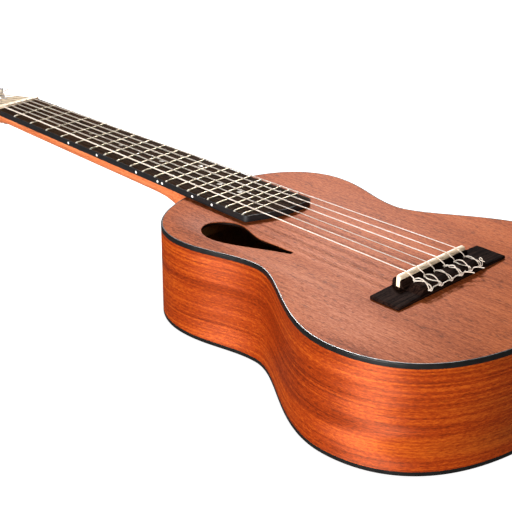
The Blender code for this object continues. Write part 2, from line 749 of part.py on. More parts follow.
# ---- bridge, saddle ------------------------------------------------------------
def bridge_mesh():
    x0, x1 = BRIDGE_X0, BRIDGE_X1
    s0, s1 = SADDLE_X0 - GAP, SADDLE_X1 + GAP

    def block(y):
        return [(x0, GAP), (x0, 3.4), (x0 + 1.6, 7.0), (s0, 7.6), (s0, 2.2), (s1, 2.2), (s1, 3.9), (s1 + 1.1, 3.9),
                (s1 + 1.7, 2.5), (442.3, 2.5), (442.3, TIE_Z), (452.0, TIE_Z), (x1 - 0.5, 4.6), (x1, GAP)]

    def wing(zw, inset):
        a, b = x0 + inset, x1 - inset
        base = block(0)
        return [(min(max(x, a), b), GAP if z == GAP else zw) for x, z in base]

    def ring(y, prof):
        seen, out = set(), []
        for x, z in prof:
            out.append((x, y, z))
        return out

    secs = []
    for y, zw, inset in ((-BRIDGE_HALF, WING_Z1, 1.2), (-BRIDGE_HALF + 1.2, WING_Z1, 0.0), (-BLOCK_HALF - 0.9, WING_Z0, 0.0)):
        secs.append((y, zw, inset))
    rings = []
    for y, zw, inset in secs:
        rings.append(wing_ring(y, zw, inset, block(0)))
    rings.append(ring(-BLOCK_HALF, block(0)))
    rings.append(ring(BLOCK_HALF, block(0)))
    for y, zw, inset in reversed(secs):
        rings.append(wing_ring(-y, zw, inset, block(0)))
    return loft("bridge", rings)


def wing_ring(y, zw, inset, base):
    """The block's profile pressed down to the wing's flat top, points kept apart."""
    a, b = BRIDGE_X0 + inset, BRIDGE_X1 - inset
    n = len(base) - 2
    out = [(a, y, GAP)]
    for i in range(n):
        t = i / (n - 1)
        out.append((a + (b - a) * t, y, zw))
    out.append((b, y, GAP))
    return out


bridge = place("bridge", bridge_mesh(), ROSEWOOD, FRAME)
tie_holes = place("tie_holes", cylinders("tie_holes", [((448.0, string_y(k, 448.0), TIE_HOLE_Z), (1, 0, 0), STRING_DIA[k - 1] / 2 + 0.38, 14.0)
                                                       for k in range(1, 7)], 8), None, FRAME, coll=CUTTERS)
boolean(bridge, tie_holes)


def saddle_mesh():
    x0, x1 = SADDLE_X0, SADDLE_X1
    rings = []
    for y, top in ((-BLOCK_HALF + 0.2, SADDLE_TOP - 0.7), (-BLOCK_HALF + 1.4, SADDLE_TOP - 0.1), (0.0, SADDLE_TOP + 0.1),
                   (BLOCK_HALF - 1.4, SADDLE_TOP - 0.1), (BLOCK_HALF - 0.2, SADDLE_TOP - 0.7)):
        rings.append([(x0, y, 2.5), (x0, y, top - 0.7), (x0 + 0.9, y, top), (x1 - 0.9, y, top), (x1, y, top - 0.7), (x1, y, 2.5)])
    return loft("saddle", rings)


place("saddle", saddle_mesh(), BONE, FRAME)


# ---- strings, each along its whole route ---------------------------------------
def head_point(s, y, z):
    """Point in the head's frame as a point in the instrument's frame."""
    v = Matrix.Rotation(-HEAD_ANGLE, 3, "Y") @ Vector((-s, y, z))
    return (v.x + HEAD_X, v.y, v.z + HEAD_Z)


POST_OF = {6: (0, -1), 5: (1, -1), 4: (2, -1), 1: (0, 1), 2: (1, 1), 3: (2, 1)}

for k in range(1, 7):
    r = STRING_DIA[k - 1] / 2
    idx, sg = POST_OF[k]
    face = GAP + VENEER_T
    end = head_point(POST_S[idx], sg * (POST_Y - POST_R - GAP - r), face + 4.2 + 0.8 * idx)
    ys = string_y(k, SADDLE_X1)
    pts = [end, (-4.9, string_y(k, -4.9), STRING_Z_NUT - 0.12), (-2.4, string_y(k, -2.4), STRING_Z_NUT), (0.0, string_y(k, 0.0), STRING_Z_NUT)]
    pts += [(x, string_y(k, x), string_z(x)) for x in (140.0, 290.0, 434.6)]
    top = SADDLE_TOP + 0.1 + GAP + r
    pts += [(436.6, ys, max(string_z(436.6), top)), (438.4, ys, top - 0.5), (440.9, ys, 5.6), (442.4, ys, TIE_HOLE_Z + 0.15),
            (443.4, ys, TIE_HOLE_Z), (452.9, ys, TIE_HOLE_Z)]
    out = BRIDGE_X1 + GAP + r + 0.1
    pts += [(out, ys, TIE_HOLE_Z + 0.7), (out, ys, TIE_Z - 0.3), (452.6, ys, TIE_Z + GAP + r + 0.35), (451.0, ys, TIE_Z + GAP + r),
            (443.4, ys, TIE_Z + GAP + r)]
    wire("string_%d" % k, pts, STRING_DIA[k - 1], WOUND if k >= 4 else NYLON, FRAME)

# ---- tuners: a plate for three, with posts, gears, worms and buttons -----------
PLATE_Z1 = -HEAD_T - GAP
PLATE_Z0 = PLATE_Z1 - 1.2
for side, sg in (("bass", -1), ("treble", 1)):
    y0, y1 = sg * POST_Y - 6.4, sg * POST_Y + 6.4
    outline = [(-38.0, y0 + 2), (-40.0, y0), (-126.0, y0), (-128.0, y0 + 2), (-128.0, y1 - 2), (-126.0, y1), (-40.0, y1), (-38.0, y1 - 2)]
    p = place("tuner_plate_" + side, plate_mesh("tuner_plate_" + side, [outline], PLATE_Z0, PLATE_Z1), CHROME, HEAD)
    ears, holes = [], []
    for s in POST_S:
        wx = -s + WORM_AHEAD
        for off in (-5.3, 5.3):
            yc = sg * POST_Y + off
            ears.append(((wx - 2.5, yc - 0.65, WORM_Z - 2.4), (wx + 2.5, yc + 0.65, PLATE_Z0 + 0.5)))
        holes.append(((wx, sg * POST_Y, WORM_Z), (0, 1, 0), 1.7, 14.0))
        holes.append(((-s, sg * POST_Y, -14.0), (0, 0, 1), POST_R + 0.5, 8.0))
    boolean(p, place("tuner_ears_" + side, boxes("tuner_ears_" + side, ears), None, HEAD, coll=CUTTERS), "UNION")
    boolean(p, place("tuner_holes_" + side, cylinders("tuner_holes_" + side, holes, 12), None, HEAD, coll=CUTTERS))

face = GAP + VENEER_T
gear_top, gear_low = PLATE_Z0 - GAP, PLATE_Z0 - GAP - 3.8
POST_PROFILE = [(0.0, face + POST_UP), (2.5, face + POST_UP), (POST_R, face + POST_UP - 0.6), (POST_R, face + 8.4), (2.35, face + 7.2),
                (2.2, face + 5.4), (2.35, face + 3.6), (POST_R, face + 2.4), (POST_R, gear_top + 0.02), (3.5, gear_top),
                (3.5, gear_low), (2.0, gear_low), (2.0, gear_low - 1.1), (0.0, gear_low - 1.1)]


def gear_mesh():
    pts = []
    for i in range(GEAR_TEETH):
        for f, r in ((0.0, 3.75), (0.28, 3.75), (0.42, 4.4), (0.86, 4.4)):
            a = 2 * math.pi * (i + f) / GEAR_TEETH
            pts.append((r * math.cos(a), r * math.sin(a)))
    return plate_mesh("gear_ring", [pts], gear_low + 0.15, gear_top - 0.15)


GEAR = gear_mesh()


def knob_mesh(sg):
    """Worm, shaft and flattened button along the local y axis, button outward."""
    rows = [  # y, radius along x, radius along z
        (-6.9, 1.3, 1.3), (-4.35, 1.3, 1.3), (-4.3, 2.3, 2.3), (4.3, 2.3, 2.3), (4.35, 1.3, 1.3), (12.9, 1.3, 1.3),
        (13.0, 2.4, 2.4), (15.4, 2.4, 2.2), (17.2, 4.9, 2.7), (20.0, 6.7, 3.3), (23.6, 7.0, 3.3), (26.0, 5.9, 2.7), (27.0, 3.4, 1.5)]
    n = 12
    rings = [[(rx * math.cos(2 * math.pi * i / n), sg * y, rz * math.sin(2 * math.pi * i / n)) for i in range(n)] for y, rx, rz in rows]
    return loft("tuner_knob", rings, smooth=40)


KNOBS = {-1: knob_mesh(-1), 1: knob_mesh(1)}
for k in range(1, 7):
    idx, sg = POST_OF[k]
    s = POST_S[idx]
    post = turned("tuner_post_%d" % k, POST_PROFILE, CHROME, HEAD, (-s, sg * POST_Y, 0.0))
    gear = place("tuner_gear_%d" % k, GEAR, None, post, coll=CUTTERS)
    boolean(post, gear, "UNION")
    place("tuner_knob_%d" % k, KNOBS[sg], BUTTON, HEAD, (-s + WORM_AHEAD, sg * POST_Y, WORM_Z))
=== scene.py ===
"""Looks of the guitalele: fine surfaces, small pieces, materials, camera, light.

Shapes below are given in millimetres in the instrument's own frame: x from the
nut to the tail, y to the treble side, z up from the soundboard's face. The head
has a frame of its own, tilted back from the nut.
"""
import math

import bmesh
import bpy
from mathutils import Matrix, Vector
from mathutils.geometry import tessellate_polygon


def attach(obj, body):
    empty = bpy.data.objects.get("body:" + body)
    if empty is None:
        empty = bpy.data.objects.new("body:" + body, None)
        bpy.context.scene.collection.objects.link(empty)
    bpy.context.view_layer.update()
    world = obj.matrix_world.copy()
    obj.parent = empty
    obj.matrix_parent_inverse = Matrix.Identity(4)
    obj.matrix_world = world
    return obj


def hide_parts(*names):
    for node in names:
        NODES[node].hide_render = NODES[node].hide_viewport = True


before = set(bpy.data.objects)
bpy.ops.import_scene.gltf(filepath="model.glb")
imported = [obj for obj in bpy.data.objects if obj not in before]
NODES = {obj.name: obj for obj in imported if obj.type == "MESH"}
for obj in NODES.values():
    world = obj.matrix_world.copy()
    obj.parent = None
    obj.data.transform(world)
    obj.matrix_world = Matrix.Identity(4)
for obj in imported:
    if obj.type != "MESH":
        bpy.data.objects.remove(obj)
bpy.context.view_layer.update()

MM = 0.001
scene = bpy.context.scene

# ---- frames ----------------------------------------------------------------------
REST_X, REST_DEPTH, REST_SLOPE = 262.0, 65.8, 0.0476
PITCH = math.atan(REST_SLOPE)
LAY = Matrix.Translation((-0.190285, 0.0, 0.0532685)) @ Matrix.Rotation(-PITCH, 4, "Y")
HEAD_ANGLE = math.radians(13.2)
HEAD_X, HEAD_Z = -5.4, 1.4
HEAD = LAY @ Matrix.Translation((HEAD_X * MM, 0, HEAD_Z * MM)) @ Matrix.Rotation(-HEAD_ANGLE, 4, "Y")

# ---- camera ----------------------------------------------------------------------
cam_data = bpy.data.cameras.new("camera")
cam = bpy.data.objects.new("camera", cam_data)
scene.collection.objects.link(cam)
scene.camera = cam
turn = Vector((1.88262, 0.79669, -0.50197))
R = Matrix.Rotation(turn.length, 3, turn.normalized())
shift = Vector((12.2517, -30.2793, 871.2674))
eye = R.transposed() @ (-shift) + Vector((300.0, 0.0, 0.0))
rot = Matrix((R[0], -R[1], -R[2])).transposed().to_4x4()
cam.matrix_world = LAY @ (Matrix.Translation(eye * MM) @ rot)
cam_data.sensor_fit = "HORIZONTAL"
cam_data.sensor_width = 36.0
cam_data.lens = 1282.383 * 36.0 / 512.0
cam_data.clip_start = 0.01
cam_data.clip_end = 50.0


# ---- materials -------------------------------------------------------------------
def lin(r, g, b):
    return tuple(((c / 255) / 12.92 if c <= 10 else ((c / 255 + 0.055) / 1.055) ** 2.4) for c in (r, g, b))


class Mat:
    """A node material with a few short calls for its graph."""

    def __init__(self, name, rough=0.5, metal=0.0, coat=0.0, coat_rough=0.1, spec=0.5):
        self.m = bpy.data.materials.new(name)
        self.m.use_nodes = True
        self.t = self.m.node_tree
        self.b = self.t.nodes["Principled BSDF"]
        self.b.inputs["Roughness"].default_value = rough
        self.b.inputs["Metallic"].default_value = metal
        self.b.inputs["Coat Weight"].default_value = coat
        self.b.inputs["Coat Roughness"].default_value = coat_rough
        self.b.inputs["Specular IOR Level"].default_value = spec

    def n(self, kind, **props):
        node = self.t.nodes.new(kind)
        for k, v in props.items():
            setattr(node, k, v)
        return node

    def link(self, a, b):
        self.t.links.new(a, b)

    def scaled(self, vec, scale=(1, 1, 1), rot=(0, 0, 0), loc=(0, 0, 0)):
        c = self.n("ShaderNodeMapping")
        c.inputs["Location"].default_value = loc
        c.inputs["Rotation"].default_value = rot
        c.inputs["Scale"].default_value = scale
        self.link(vec, c.inputs["Vector"])
        return c.outputs["Vector"]

    def coords(self, scale=(1, 1, 1), loc=(0, 0, 0)):
        """Object coordinates turned into the instrument's frame, in metres, then scaled."""
        tc = self.n("ShaderNodeTexCoord")
        return self.scaled(self.scaled(tc.outputs["Object"], rot=(0, PITCH, 0)), scale, loc=loc)

    def grain(self, scale=(1, 1, 1), loc=(0, 0, 0)):
        """The piece's own grain coordinates: along, across, through, in metres, scaled."""
        a = self.n("ShaderNodeAttribute", attribute_name="grain")
        return self.scaled(a.outputs["Vector"], scale, loc=loc)

    def noise(self, vec, scale=1.0, detail=4, rough=0.55, distortion=0.0):
        node = self.n("ShaderNodeTexNoise")
        node.inputs["Scale"].default_value = scale
        node.inputs["Detail"].default_value = detail
        node.inputs["Roughness"].default_value = rough
        node.inputs["Distortion"].default_value = distortion
        self.link(vec, node.inputs["Vector"])
        return node.outputs["Fac"]

    def wave(self, vec, scale=1.0, distortion=0.0, direction="X"):
        node = self.n("ShaderNodeTexWave", bands_direction=direction)
        node.inputs["Scale"].default_value = scale
        node.inputs["Distortion"].default_value = distortion
        self.link(vec, node.inputs["Vector"])
        return node.outputs["Fac"]

    def ramp(self, fac, stops, interp="LINEAR"):
        node = self.n("ShaderNodeValToRGB")
        cr = node.color_ramp
        cr.interpolation = interp
        while len(cr.elements) < len(stops):
            cr.elements.new(0.5)
        for e, (p, c) in zip(cr.elements, stops):
            e.position = p
            e.color = (*c, 1) if len(c) == 3 else c
        self.link(fac, node.inputs["Fac"])
        return node.outputs["Color"]

    def band(self, fac, lo, hi, a=0.0, b=1.0):
        node = self.n("ShaderNodeMapRange")
        node.inputs["From Min"].default_value = lo
        node.inputs["From Max"].default_value = hi
        node.inputs["To Min"].default_value = a
        node.inputs["To Max"].default_value = b
        self.link(fac, node.inputs["Value"])
        return node.outputs["Result"]

    def math(self, op, a, b):
        node = self.n("ShaderNodeMath", operation=op)
        for i, v in enumerate((a, b)):
            if isinstance(v, (int, float)):
                node.inputs[i].default_value = v
            else:
                self.link(v, node.inputs[i])
        return node.outputs["Value"]

    def mix(self, fac, a, b, mode="MIX"):
        node = self.n("ShaderNodeMix", data_type="RGBA", blend_type=mode)
        for sock, v in ((node.inputs["Factor"], fac), (node.inputs["A"], a), (node.inputs["B"], b)):
            if isinstance(v, (int, float)):
                sock.default_value = v
            elif isinstance(v, tuple):
                sock.default_value = (*v, 1)
            else:
                self.link(v, sock)
        return node.outputs["Result"]

    def color(self, out):
        self.link(out, self.b.inputs["Base Color"])

    def rough(self, out):
        self.link(out, self.b.inputs["Roughness"])

    def bump(self, height, strength=0.2, distance=0.0002):
        node = self.n("ShaderNodeBump")
        node.inputs["Strength"].default_value = strength
        node.inputs["Distance"].default_value = distance
        self.link(height, node.inputs["Height"])
        self.link(node.outputs["Normal"], self.b.inputs["Normal"])


def timber(name, dark, mid, light, rough=0.45, spec=0.4, tint=(1.0, 1.0, 1.0), drift=0.25, ribbon=0.0, swing=0.0, streak=0.3, speck=0.5,
           pore=0.6, pore_cut=0.60, pore_size=(170.0, 950.0), bump=0.25, own=True, coat=0.0, silk=0.0, across=(0.0, 0.0, 1.0), metal=0.0, ior=1.5):
    """Straight-grained timber. drift: soft change of tone; ribbon: broad soft bands along the grain; swing: how far the
    bands lean the surface's sheen; streak: thin lines; speck: short fibres; pore: short dark dashes; silk: how much the
    fibres spread the sheen across themselves."""
    m = Mat(name, rough, metal, coat, 0.15, spec)
    m.b.inputs["Specular Tint"].default_value = (*tint, 1)
    m.b.inputs["IOR"].default_value = ior
    if silk:
        m.b.inputs["Anisotropic"].default_value = silk
        side = m.n("ShaderNodeCombineXYZ")
        for i in range(3):
            side.inputs[i].default_value = across[i]
        m.link(side.outputs["Vector"], m.b.inputs["Tangent"])
    src = m.grain if own else m.coords

    def at(along, side, loc=(0, 0, 0)):
        return src((along, side, side), loc)

    fine = m.noise(at(7.0, 640.0), 1.0, 3, 0.5, 0.1)
    fibre = m.noise(at(420.0, 1500.0, (3.1, 1.7, 0.4)), 1.0, 2, 0.6)
    fac = m.math("ADD", m.math("MULTIPLY", m.math("SUBTRACT", fine, 0.5), streak), m.math("MULTIPLY", m.math("SUBTRACT", fibre, 0.5), speck))
    bands = m.noise(at(3.4, 62.0, (7.0, 2.0, 5.0)), 1.0, 3, 0.5, 0.2)
    if ribbon:
        fac = m.math("ADD", fac, m.math("MULTIPLY", m.math("SUBTRACT", bands, 0.5), ribbon))
    soft = m.noise(at(6.0, 22.0, (1.0, 4.0, 2.0)), 1.0, 3, 0.5, 0.3)
    fac = m.math("ADD", m.math("ADD", fac, m.math("MULTIPLY", m.math("SUBTRACT", soft, 0.5), drift)), 0.5)
    col = m.ramp(fac, [(0.32, dark), (0.50, mid), (0.68, light)])
    lines = m.noise(at(9.0, 260.0, (5.0, 5.0, 5.0)), 1.0, 3, 0.6)
    pores = m.noise(at(pore_size[0], pore_size[1] * 1.5), 1.0, 2, 0.5)
    crowd = m.noise(at(pore_size[0] * 0.30, pore_size[1] * 0.34, (2.0, 8.0, 6.0)), 1.0, 2, 0.5)
    push = m.math("ADD", m.math("MULTIPLY", m.math("SUBTRACT", lines, 0.5), 0.5), m.math("MULTIPLY", m.math("SUBTRACT", crowd, 0.5), 0.6))
    pmask = m.band(m.math("ADD", pores, push), pore_cut, pore_cut + 0.07)
    tiny = m.band(m.noise(at(130.0, 2600.0, (9.0, 3.0, 1.0)), 1.0, 2, 0.5), 0.62, 0.70)
    col = m.mix(m.math("MULTIPLY", m.math("MAXIMUM", pmask, m.math("MULTIPLY", tiny, 0.6)), pore), col, tuple(c * 0.42 for c in dark))
    m.color(col)
    m.rough(m.band(fac, 0.3, 0.7, rough + 0.06, rough - 0.04))
    node = m.n("ShaderNodeBump")
    node.inputs["Strength"].default_value = bump
    node.inputs["Distance"].default_value = 0.0001
    m.link(m.math("SUBTRACT", m.math("MULTIPLY", fibre, 0.6), m.math("MAXIMUM", pmask, tiny)), node.inputs["Height"])
    if swing:
        geo = m.n("ShaderNodeNewGeometry")
        lean = m.n("ShaderNodeVectorRotate", rotation_type="Z_AXIS")
        m.link(geo.outputs["Normal"], lean.inputs["Vector"])
        m.link(m.math("MULTIPLY", m.math("SUBTRACT", bands, 0.5), swing), lean.inputs["Angle"])
        m.link(lean.outputs["Vector"], node.inputs["Normal"])
    m.link(node.outputs["Normal"], m.b.inputs["Normal"])
    return m.m


def plain(name, a, b, rough, metal=0.0, coat=0.0, scale=180.0, bump=0.05, spec=0.5):
    """Moulded or polished stuff: slight mottling, fine bump and uneven gloss."""
    m = Mat(name, rough, metal, coat, 0.05, spec)
    f = m.noise(m.coords(), scale, 4, 0.55)
    m.color(m.ramp(f, [(0.3, a), (0.7, b)]))
    m.rough(m.band(f, 0.25, 0.75, max(0.02, rough - 0.04), rough + 0.06))
    m.bump(m.noise(m.coords(), scale * 4, 3, 0.5), bump, 0.0001)
    return m.m


WARM = (1.0, 0.64, 0.40)
TOP_WOOD = timber("top_mahogany", lin(123, 56, 26), lin(173, 87, 43), lin(197, 109, 61), 0.48, 0.12, (1.0, 0.8, 0.68), drift=0.5, streak=0.35, speck=0.6,
                  pore=0.62, pore_cut=0.60, pore_size=(230.0, 1050.0), bump=0.3, ior=1.2)
SIDE_WOOD = timber("side_mahogany", lin(100, 27, 3), lin(156, 53, 8), lin(200, 90, 22), 0.50, 1.0, WARM, drift=0.25, ribbon=0.4, swing=0.8, streak=0.5, speck=0.45,
                   pore=0.35, pore_cut=0.65, pore_size=(300.0, 1300.0), bump=0.12, silk=0.7, metal=0.27, ior=1.4)
BACK_WOOD = timber("back_mahogany", lin(108, 30, 5), lin(158, 58, 14), lin(190, 84, 30), 0.36, 0.5, WARM, drift=0.3, ribbon=0.7, streak=0.35, speck=0.5,
                   pore=0.4, pore_cut=0.66, pore_size=(200.0, 900.0), bump=0.15)
NECK_WOOD = timber("neck_mahogany", lin(170, 79, 44), lin(206, 112, 66), lin(228, 140, 92), 0.44, 0.3, WARM, drift=0.3, streak=0.4, speck=0.45,
                   pore=0.45, pore_cut=0.63, pore_size=(230.0, 1150.0), bump=0.15, ior=1.4)
VENEER = timber("head_veneer", lin(182, 152, 112), lin(214, 190, 154), lin(230, 210, 178), 0.34, 0.3, drift=0.35, streak=0.45, speck=0.3, pore=0.14, bump=0.06, coat=0.3)
INNER_WOOD = timber("inner_wood", lin(98, 64, 32), lin(128, 88, 48), lin(154, 112, 66), 0.7, 0.2, own=False, pore=0.3)
INNER_SKIN = timber("inner_skin", lin(160, 112, 60), lin(188, 138, 80), lin(206, 160, 100), 0.75, 0.15, pore=0.3)
HOLE_EDGE = timber("hole_edge", lin(20, 9, 6), lin(34, 15, 9), lin(48, 22, 13), 0.5, 0.15, pore=0.2)
BOARD_WOOD = timber("board_rosewood", lin(22, 13, 6), lin(45, 29, 17), lin(70, 47, 30), 0.6, 0.05, (1, 0.8, 0.65), drift=0.35, streak=0.7, speck=0.5, pore=0.7,
                    pore_size=(120.0, 1300.0), bump=0.35, ior=1.13)
BOARD_EDGE = timber("board_edge", lin(15, 14, 14), lin(24, 23, 24), lin(34, 33, 34), 0.48, 0.26, drift=0.2, streak=0.4, speck=0.3, pore=0.3, bump=0.08)
BRIDGE_WOOD = timber("bridge_rosewood", lin(14, 8, 7), lin(29, 18, 15), lin(47, 31, 25), 0.6, 0.04, (1, 0.85, 0.75), drift=0.4, streak=0.9, speck=0.5, pore=0.8,
                     pore_size=(120.0, 1200.0), bump=0.4, ior=1.12)
BLACK = plain("black_binding", lin(16, 15, 15), lin(24, 23, 22), 0.36, 0.0, 0.0, bump=0.03, spec=0.22)
BONE = plain("bone_cream", lin(246, 216, 180), lin(254, 230, 198), 0.4, 0.0, 0.0, 140.0)
NYLON = plain("nylon_white", lin(220, 204, 186), lin(232, 218, 204), 0.35, 0.0, 0.0, 300.0, 0.02)
CHROME = plain("chrome", lin(214, 214, 216), lin(236, 236, 238), 0.2, 0.72)
NICKEL = plain("gear_nickel", lin(196, 190, 178), lin(220, 214, 202), 0.3, 0.75)
# The fret metal is dimmed below its own shine: painted shade standing in for the dark board the crowns would reflect.
FRET = plain("fret_metal", lin(128, 116, 98), lin(162, 149, 128), 0.4, 1.0)
# A brighter copy of the fret metal for the fret ends: a painted highlight.
FRET_END_PAINTED_HIGHLIGHT = plain("fret_tip", lin(190, 183, 168), lin(212, 206, 192), 0.4, 0.4, 0.0, 900.0, 0.02)
DOT = plain("dot_white", lin(248, 247, 243), lin(255, 254, 252), 0.3, 0.0, 0.1)
FACE_DOT = plain("face_dot", lin(96, 84, 62), lin(140, 126, 98), 0.35, 0.0, 0.0, 600.0, spec=0.3)


def wound_material():
    """Thin wire wrapped round the core: a fine ring pattern along the string."""
    m = Mat("wound_string", 0.35, 0.0, spec=0.5)
    rings = m.wave(m.grain((1, 0, 0)), 620.0)
    m.color(m.ramp(rings, [(0.0, lin(192, 176, 158)), (0.5, lin(222, 206, 190)), (1.0, lin(236, 222, 208))]))
    m.rough(m.band(rings, 0.0, 1.0, 0.42, 0.26))
    m.bump(rings, 0.6, 0.00008)
    return m.m


def pearl_material():
    """Pale swirled pearloid under a clear gloss."""
    m = Mat("pearl_button", 0.24, 0.0, 0.6, 0.05)
    f = m.noise(m.coords(), 260.0, 5, 0.6, 2.4)
    m.color(m.ramp(f, [(0.25, lin(214, 200, 172)), (0.5, lin(238, 228, 206)), (0.75, lin(250, 246, 236))]))
    m.rough(m.band(f, 0.2, 0.8, 0.18, 0.32))
    m.bump(f, 0.04, 0.0001)
    return m.m


WOUND = wound_material()
PEARL = pearl_material()


# ---- building meshes -------------------------------------------------------------
class Shape:
    """Points in millimetres with grain coordinates, and faces, made into one piece."""

    def __init__(self):
        self.v, self.g, self.f, self.mi = [], [], [], []

    def point(self, p, g=None):
        self.v.append(tuple(p))
        self.g.append(tuple(g) if g is not None else tuple(p))
        return len(self.v) - 1

    def ring(self, pts, gs=None):
        return [self.point(p, None if gs is None else gs[i]) for i, p in enumerate(pts)]

    def face(self, idx, mat=0):
        self.f.append(tuple(idx))
        self.mi.append(mat)

    def skin(self, a, b, closed=True, mat=0):
        n = len(a)
        for j in range(n if closed else n - 1):
            k = (j + 1) % n
            self.face((a[j], a[k], b[k], b[j]), mat)

    def fan(self, ring, centre, g=None, mat=0):
        c = self.point(centre, g)
        for j in range(len(ring)):
            self.face((ring[j], ring[(j + 1) % len(ring)], c), mat)

    def fill(self, loops, mat=0):
        flat = [i for lp in loops for i in lp]
        tris = tessellate_polygon([[Vector((self.v[i][0], self.v[i][1], 0)) for i in lp] for lp in loops])
        for t in tris:
            self.face([flat[i] for i in t], mat)

    def make(self, name, mats, m=LAY, body="instrument", smooth=35, replaces=(), merge=0.0):
        me = bpy.data.meshes.new(name)
        me.from_pydata([m @ (Vector(p) * MM) for p in self.v], [], self.f)
        att = me.attributes.new("grain", "FLOAT_VECTOR", "POINT")
        att.data.foreach_set("vector", [c * MM for g in self.g for c in g])
        for mat in (mats if isinstance(mats, (list, tuple)) else [mats]):
            me.materials.append(mat)
        me.polygons.foreach_set("material_index", self.mi)
        bm = bmesh.new()
        bm.from_mesh(me)
        if merge:
            bmesh.ops.remove_doubles(bm, verts=bm.verts, dist=merge * MM)
            bmesh.ops.dissolve_degenerate(bm, dist=merge * MM, edges=bm.edges)
        bmesh.ops.recalc_face_normals(bm, faces=bm.faces)
        bm.to_mesh(me)
        bm.free()
        me.shade_smooth()
        me.set_sharp_from_angle(angle=math.radians(smooth))
        o = bpy.data.objects.new(name, me)
        scene.collection.objects.link(o)
        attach(o, body)
        if replaces:
            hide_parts(*replaces)
        return o


def area2(loop):
    return sum(a[0] * b[1] - b[0] * a[1] for a, b in zip(loop, loop[1:] + loop[:1]))


def offset(loop, d):
    """Move a closed loop to the left of its direction by d."""
    n, out = len(loop), []
    for i in range(n):
        a, b, c = loop[i - 1], loop[i], loop[(i + 1) % n]
        ux, uy = b[0] - a[0], b[1] - a[1]
        vx, vy = c[0] - b[0], c[1] - b[1]
        lu, lv = math.hypot(ux, uy) or 1.0, math.hypot(vx, vy) or 1.0
        nx, ny = -(uy / lu + vy / lv), ux / lu + vx / lv
        k = math.hypot(nx, ny) or 1.0
        nx, ny = nx / k, ny / k
        cosh = max(0.45, -(uy / lu) * nx + (ux / lu) * ny)
        out.append((b[0] + nx * d / cosh, b[1] + ny * d / cosh))
    return out


def slab(loops, zt, zb, r=0.0, steps=4, low_r=0.0, mats=(0, 0, 0)):
    """A flat plate with holes; r rounds its top edges, low_r its bottom edges."""
    s = Shape()
    loops = [lp if (area2(lp) > 0) == (i == 0) else lp[::-1] for i, lp in enumerate(loops)]
    tops, bots = [], []
    for k, lp in enumerate(loops):
        prof = []
        if r:
            prof += [(r * (1 - math.sin(a)), zt - r * (1 - math.cos(a))) for a in [math.pi / 2 * i / steps for i in range(steps + 1)]]
        else:
            prof.append((0.0, zt))
        if low_r:
            prof += [(low_r * (1 - math.cos(a)), zb + low_r * (1 - math.sin(a))) for a in [math.pi / 2 * i / steps for i in range(steps + 1)]]
        else:
            prof.append((0.0, zb))
        rings = []
        for d, z in prof:
            q = offset(lp, d) if d > 1e-6 else lp
            rings.append(s.ring([(x, y, z) for x, y in q]))
        for i, (a, b) in enumerate(zip(rings, rings[1:])):
            s.skin(a, b, True, mats[3] if k and len(mats) > 3 and i >= steps else mats[1])
        tops.append(rings[0])
        bots.append(rings[-1])
    s.fill(tops, mats[0])
    s.fill(bots, mats[2])
    return s


def circle(x, y, r, n=32):
    return [(x + r * math.cos(2 * math.pi * i / n), y + r * math.sin(2 * math.pi * i / n)) for i in range(n)]


def lathe(profile, n=40, centre=(0, 0), s=None, mat=0):
    """profile: (radius, z) from the axis to the axis."""
    s = s or Shape()
    rings, ends = [], []
    for r, z in profile:
        if r < 1e-6:
            ends.append((len(rings), z))
            rings.append(None)
        else:
            rings.append(s.ring([(centre[0] + r * math.cos(2 * math.pi * i / n), centre[1] + r * math.sin(2 * math.pi * i / n), z) for i in range(n)]))
    for a, b in zip(rings, rings[1:]):
        if a and b:
            s.skin(a, b, True, mat)
    for i, z in ends:
        near = rings[i + 1] if i == 0 else rings[i - 1]
        s.fan(near, (centre[0], centre[1], z), None, mat)
    return s


def tube(path, radius, sides=12, s=None, mat=0, cap=True, along0=0.0):
    """A round wire along dense path points; grain x runs along it."""
    s = s or Shape()
    pts = [Vector(p) for p in path]
    t = (pts[1] - pts[0]).normalized()
    up = Vector((0, 0, 1)) if abs(t.z) < 0.9 else Vector((0, 1, 0))
    nrm = (up - t * up.dot(t)).normalized()
    rings, run = [], along0
    for i, p in enumerate(pts):
        if i:
            run += (p - pts[i - 1]).length
        tan = (pts[min(i + 1, len(pts) - 1)] - pts[max(i - 1, 0)]).normalized()
        nrm = (nrm - tan * nrm.dot(tan)).normalized()
        bi = tan.cross(nrm)
        rad = radius(i / (len(pts) - 1)) if callable(radius) else radius
        ring, gs = [], []
        for j in range(sides):
            a = 2 * math.pi * j / sides
            ring.append(p + (nrm * math.cos(a) + bi * math.sin(a)) * rad)
            gs.append((run, math.cos(a) * rad, math.sin(a) * rad))
        rings.append(s.ring(ring, gs))
    for a, b in zip(rings, rings[1:]):
        s.skin(a, b, True, mat)
    if cap:
        for ring, p, q in ((rings[0], pts[0], pts[1]), (rings[-1], pts[-1], pts[-2])):
            rad = (Vector(s.v[ring[0]]) - p).length
            s.fan(ring, p + (p - q).normalized() * rad * 0.5, (run, 0, 0), mat)
    return s


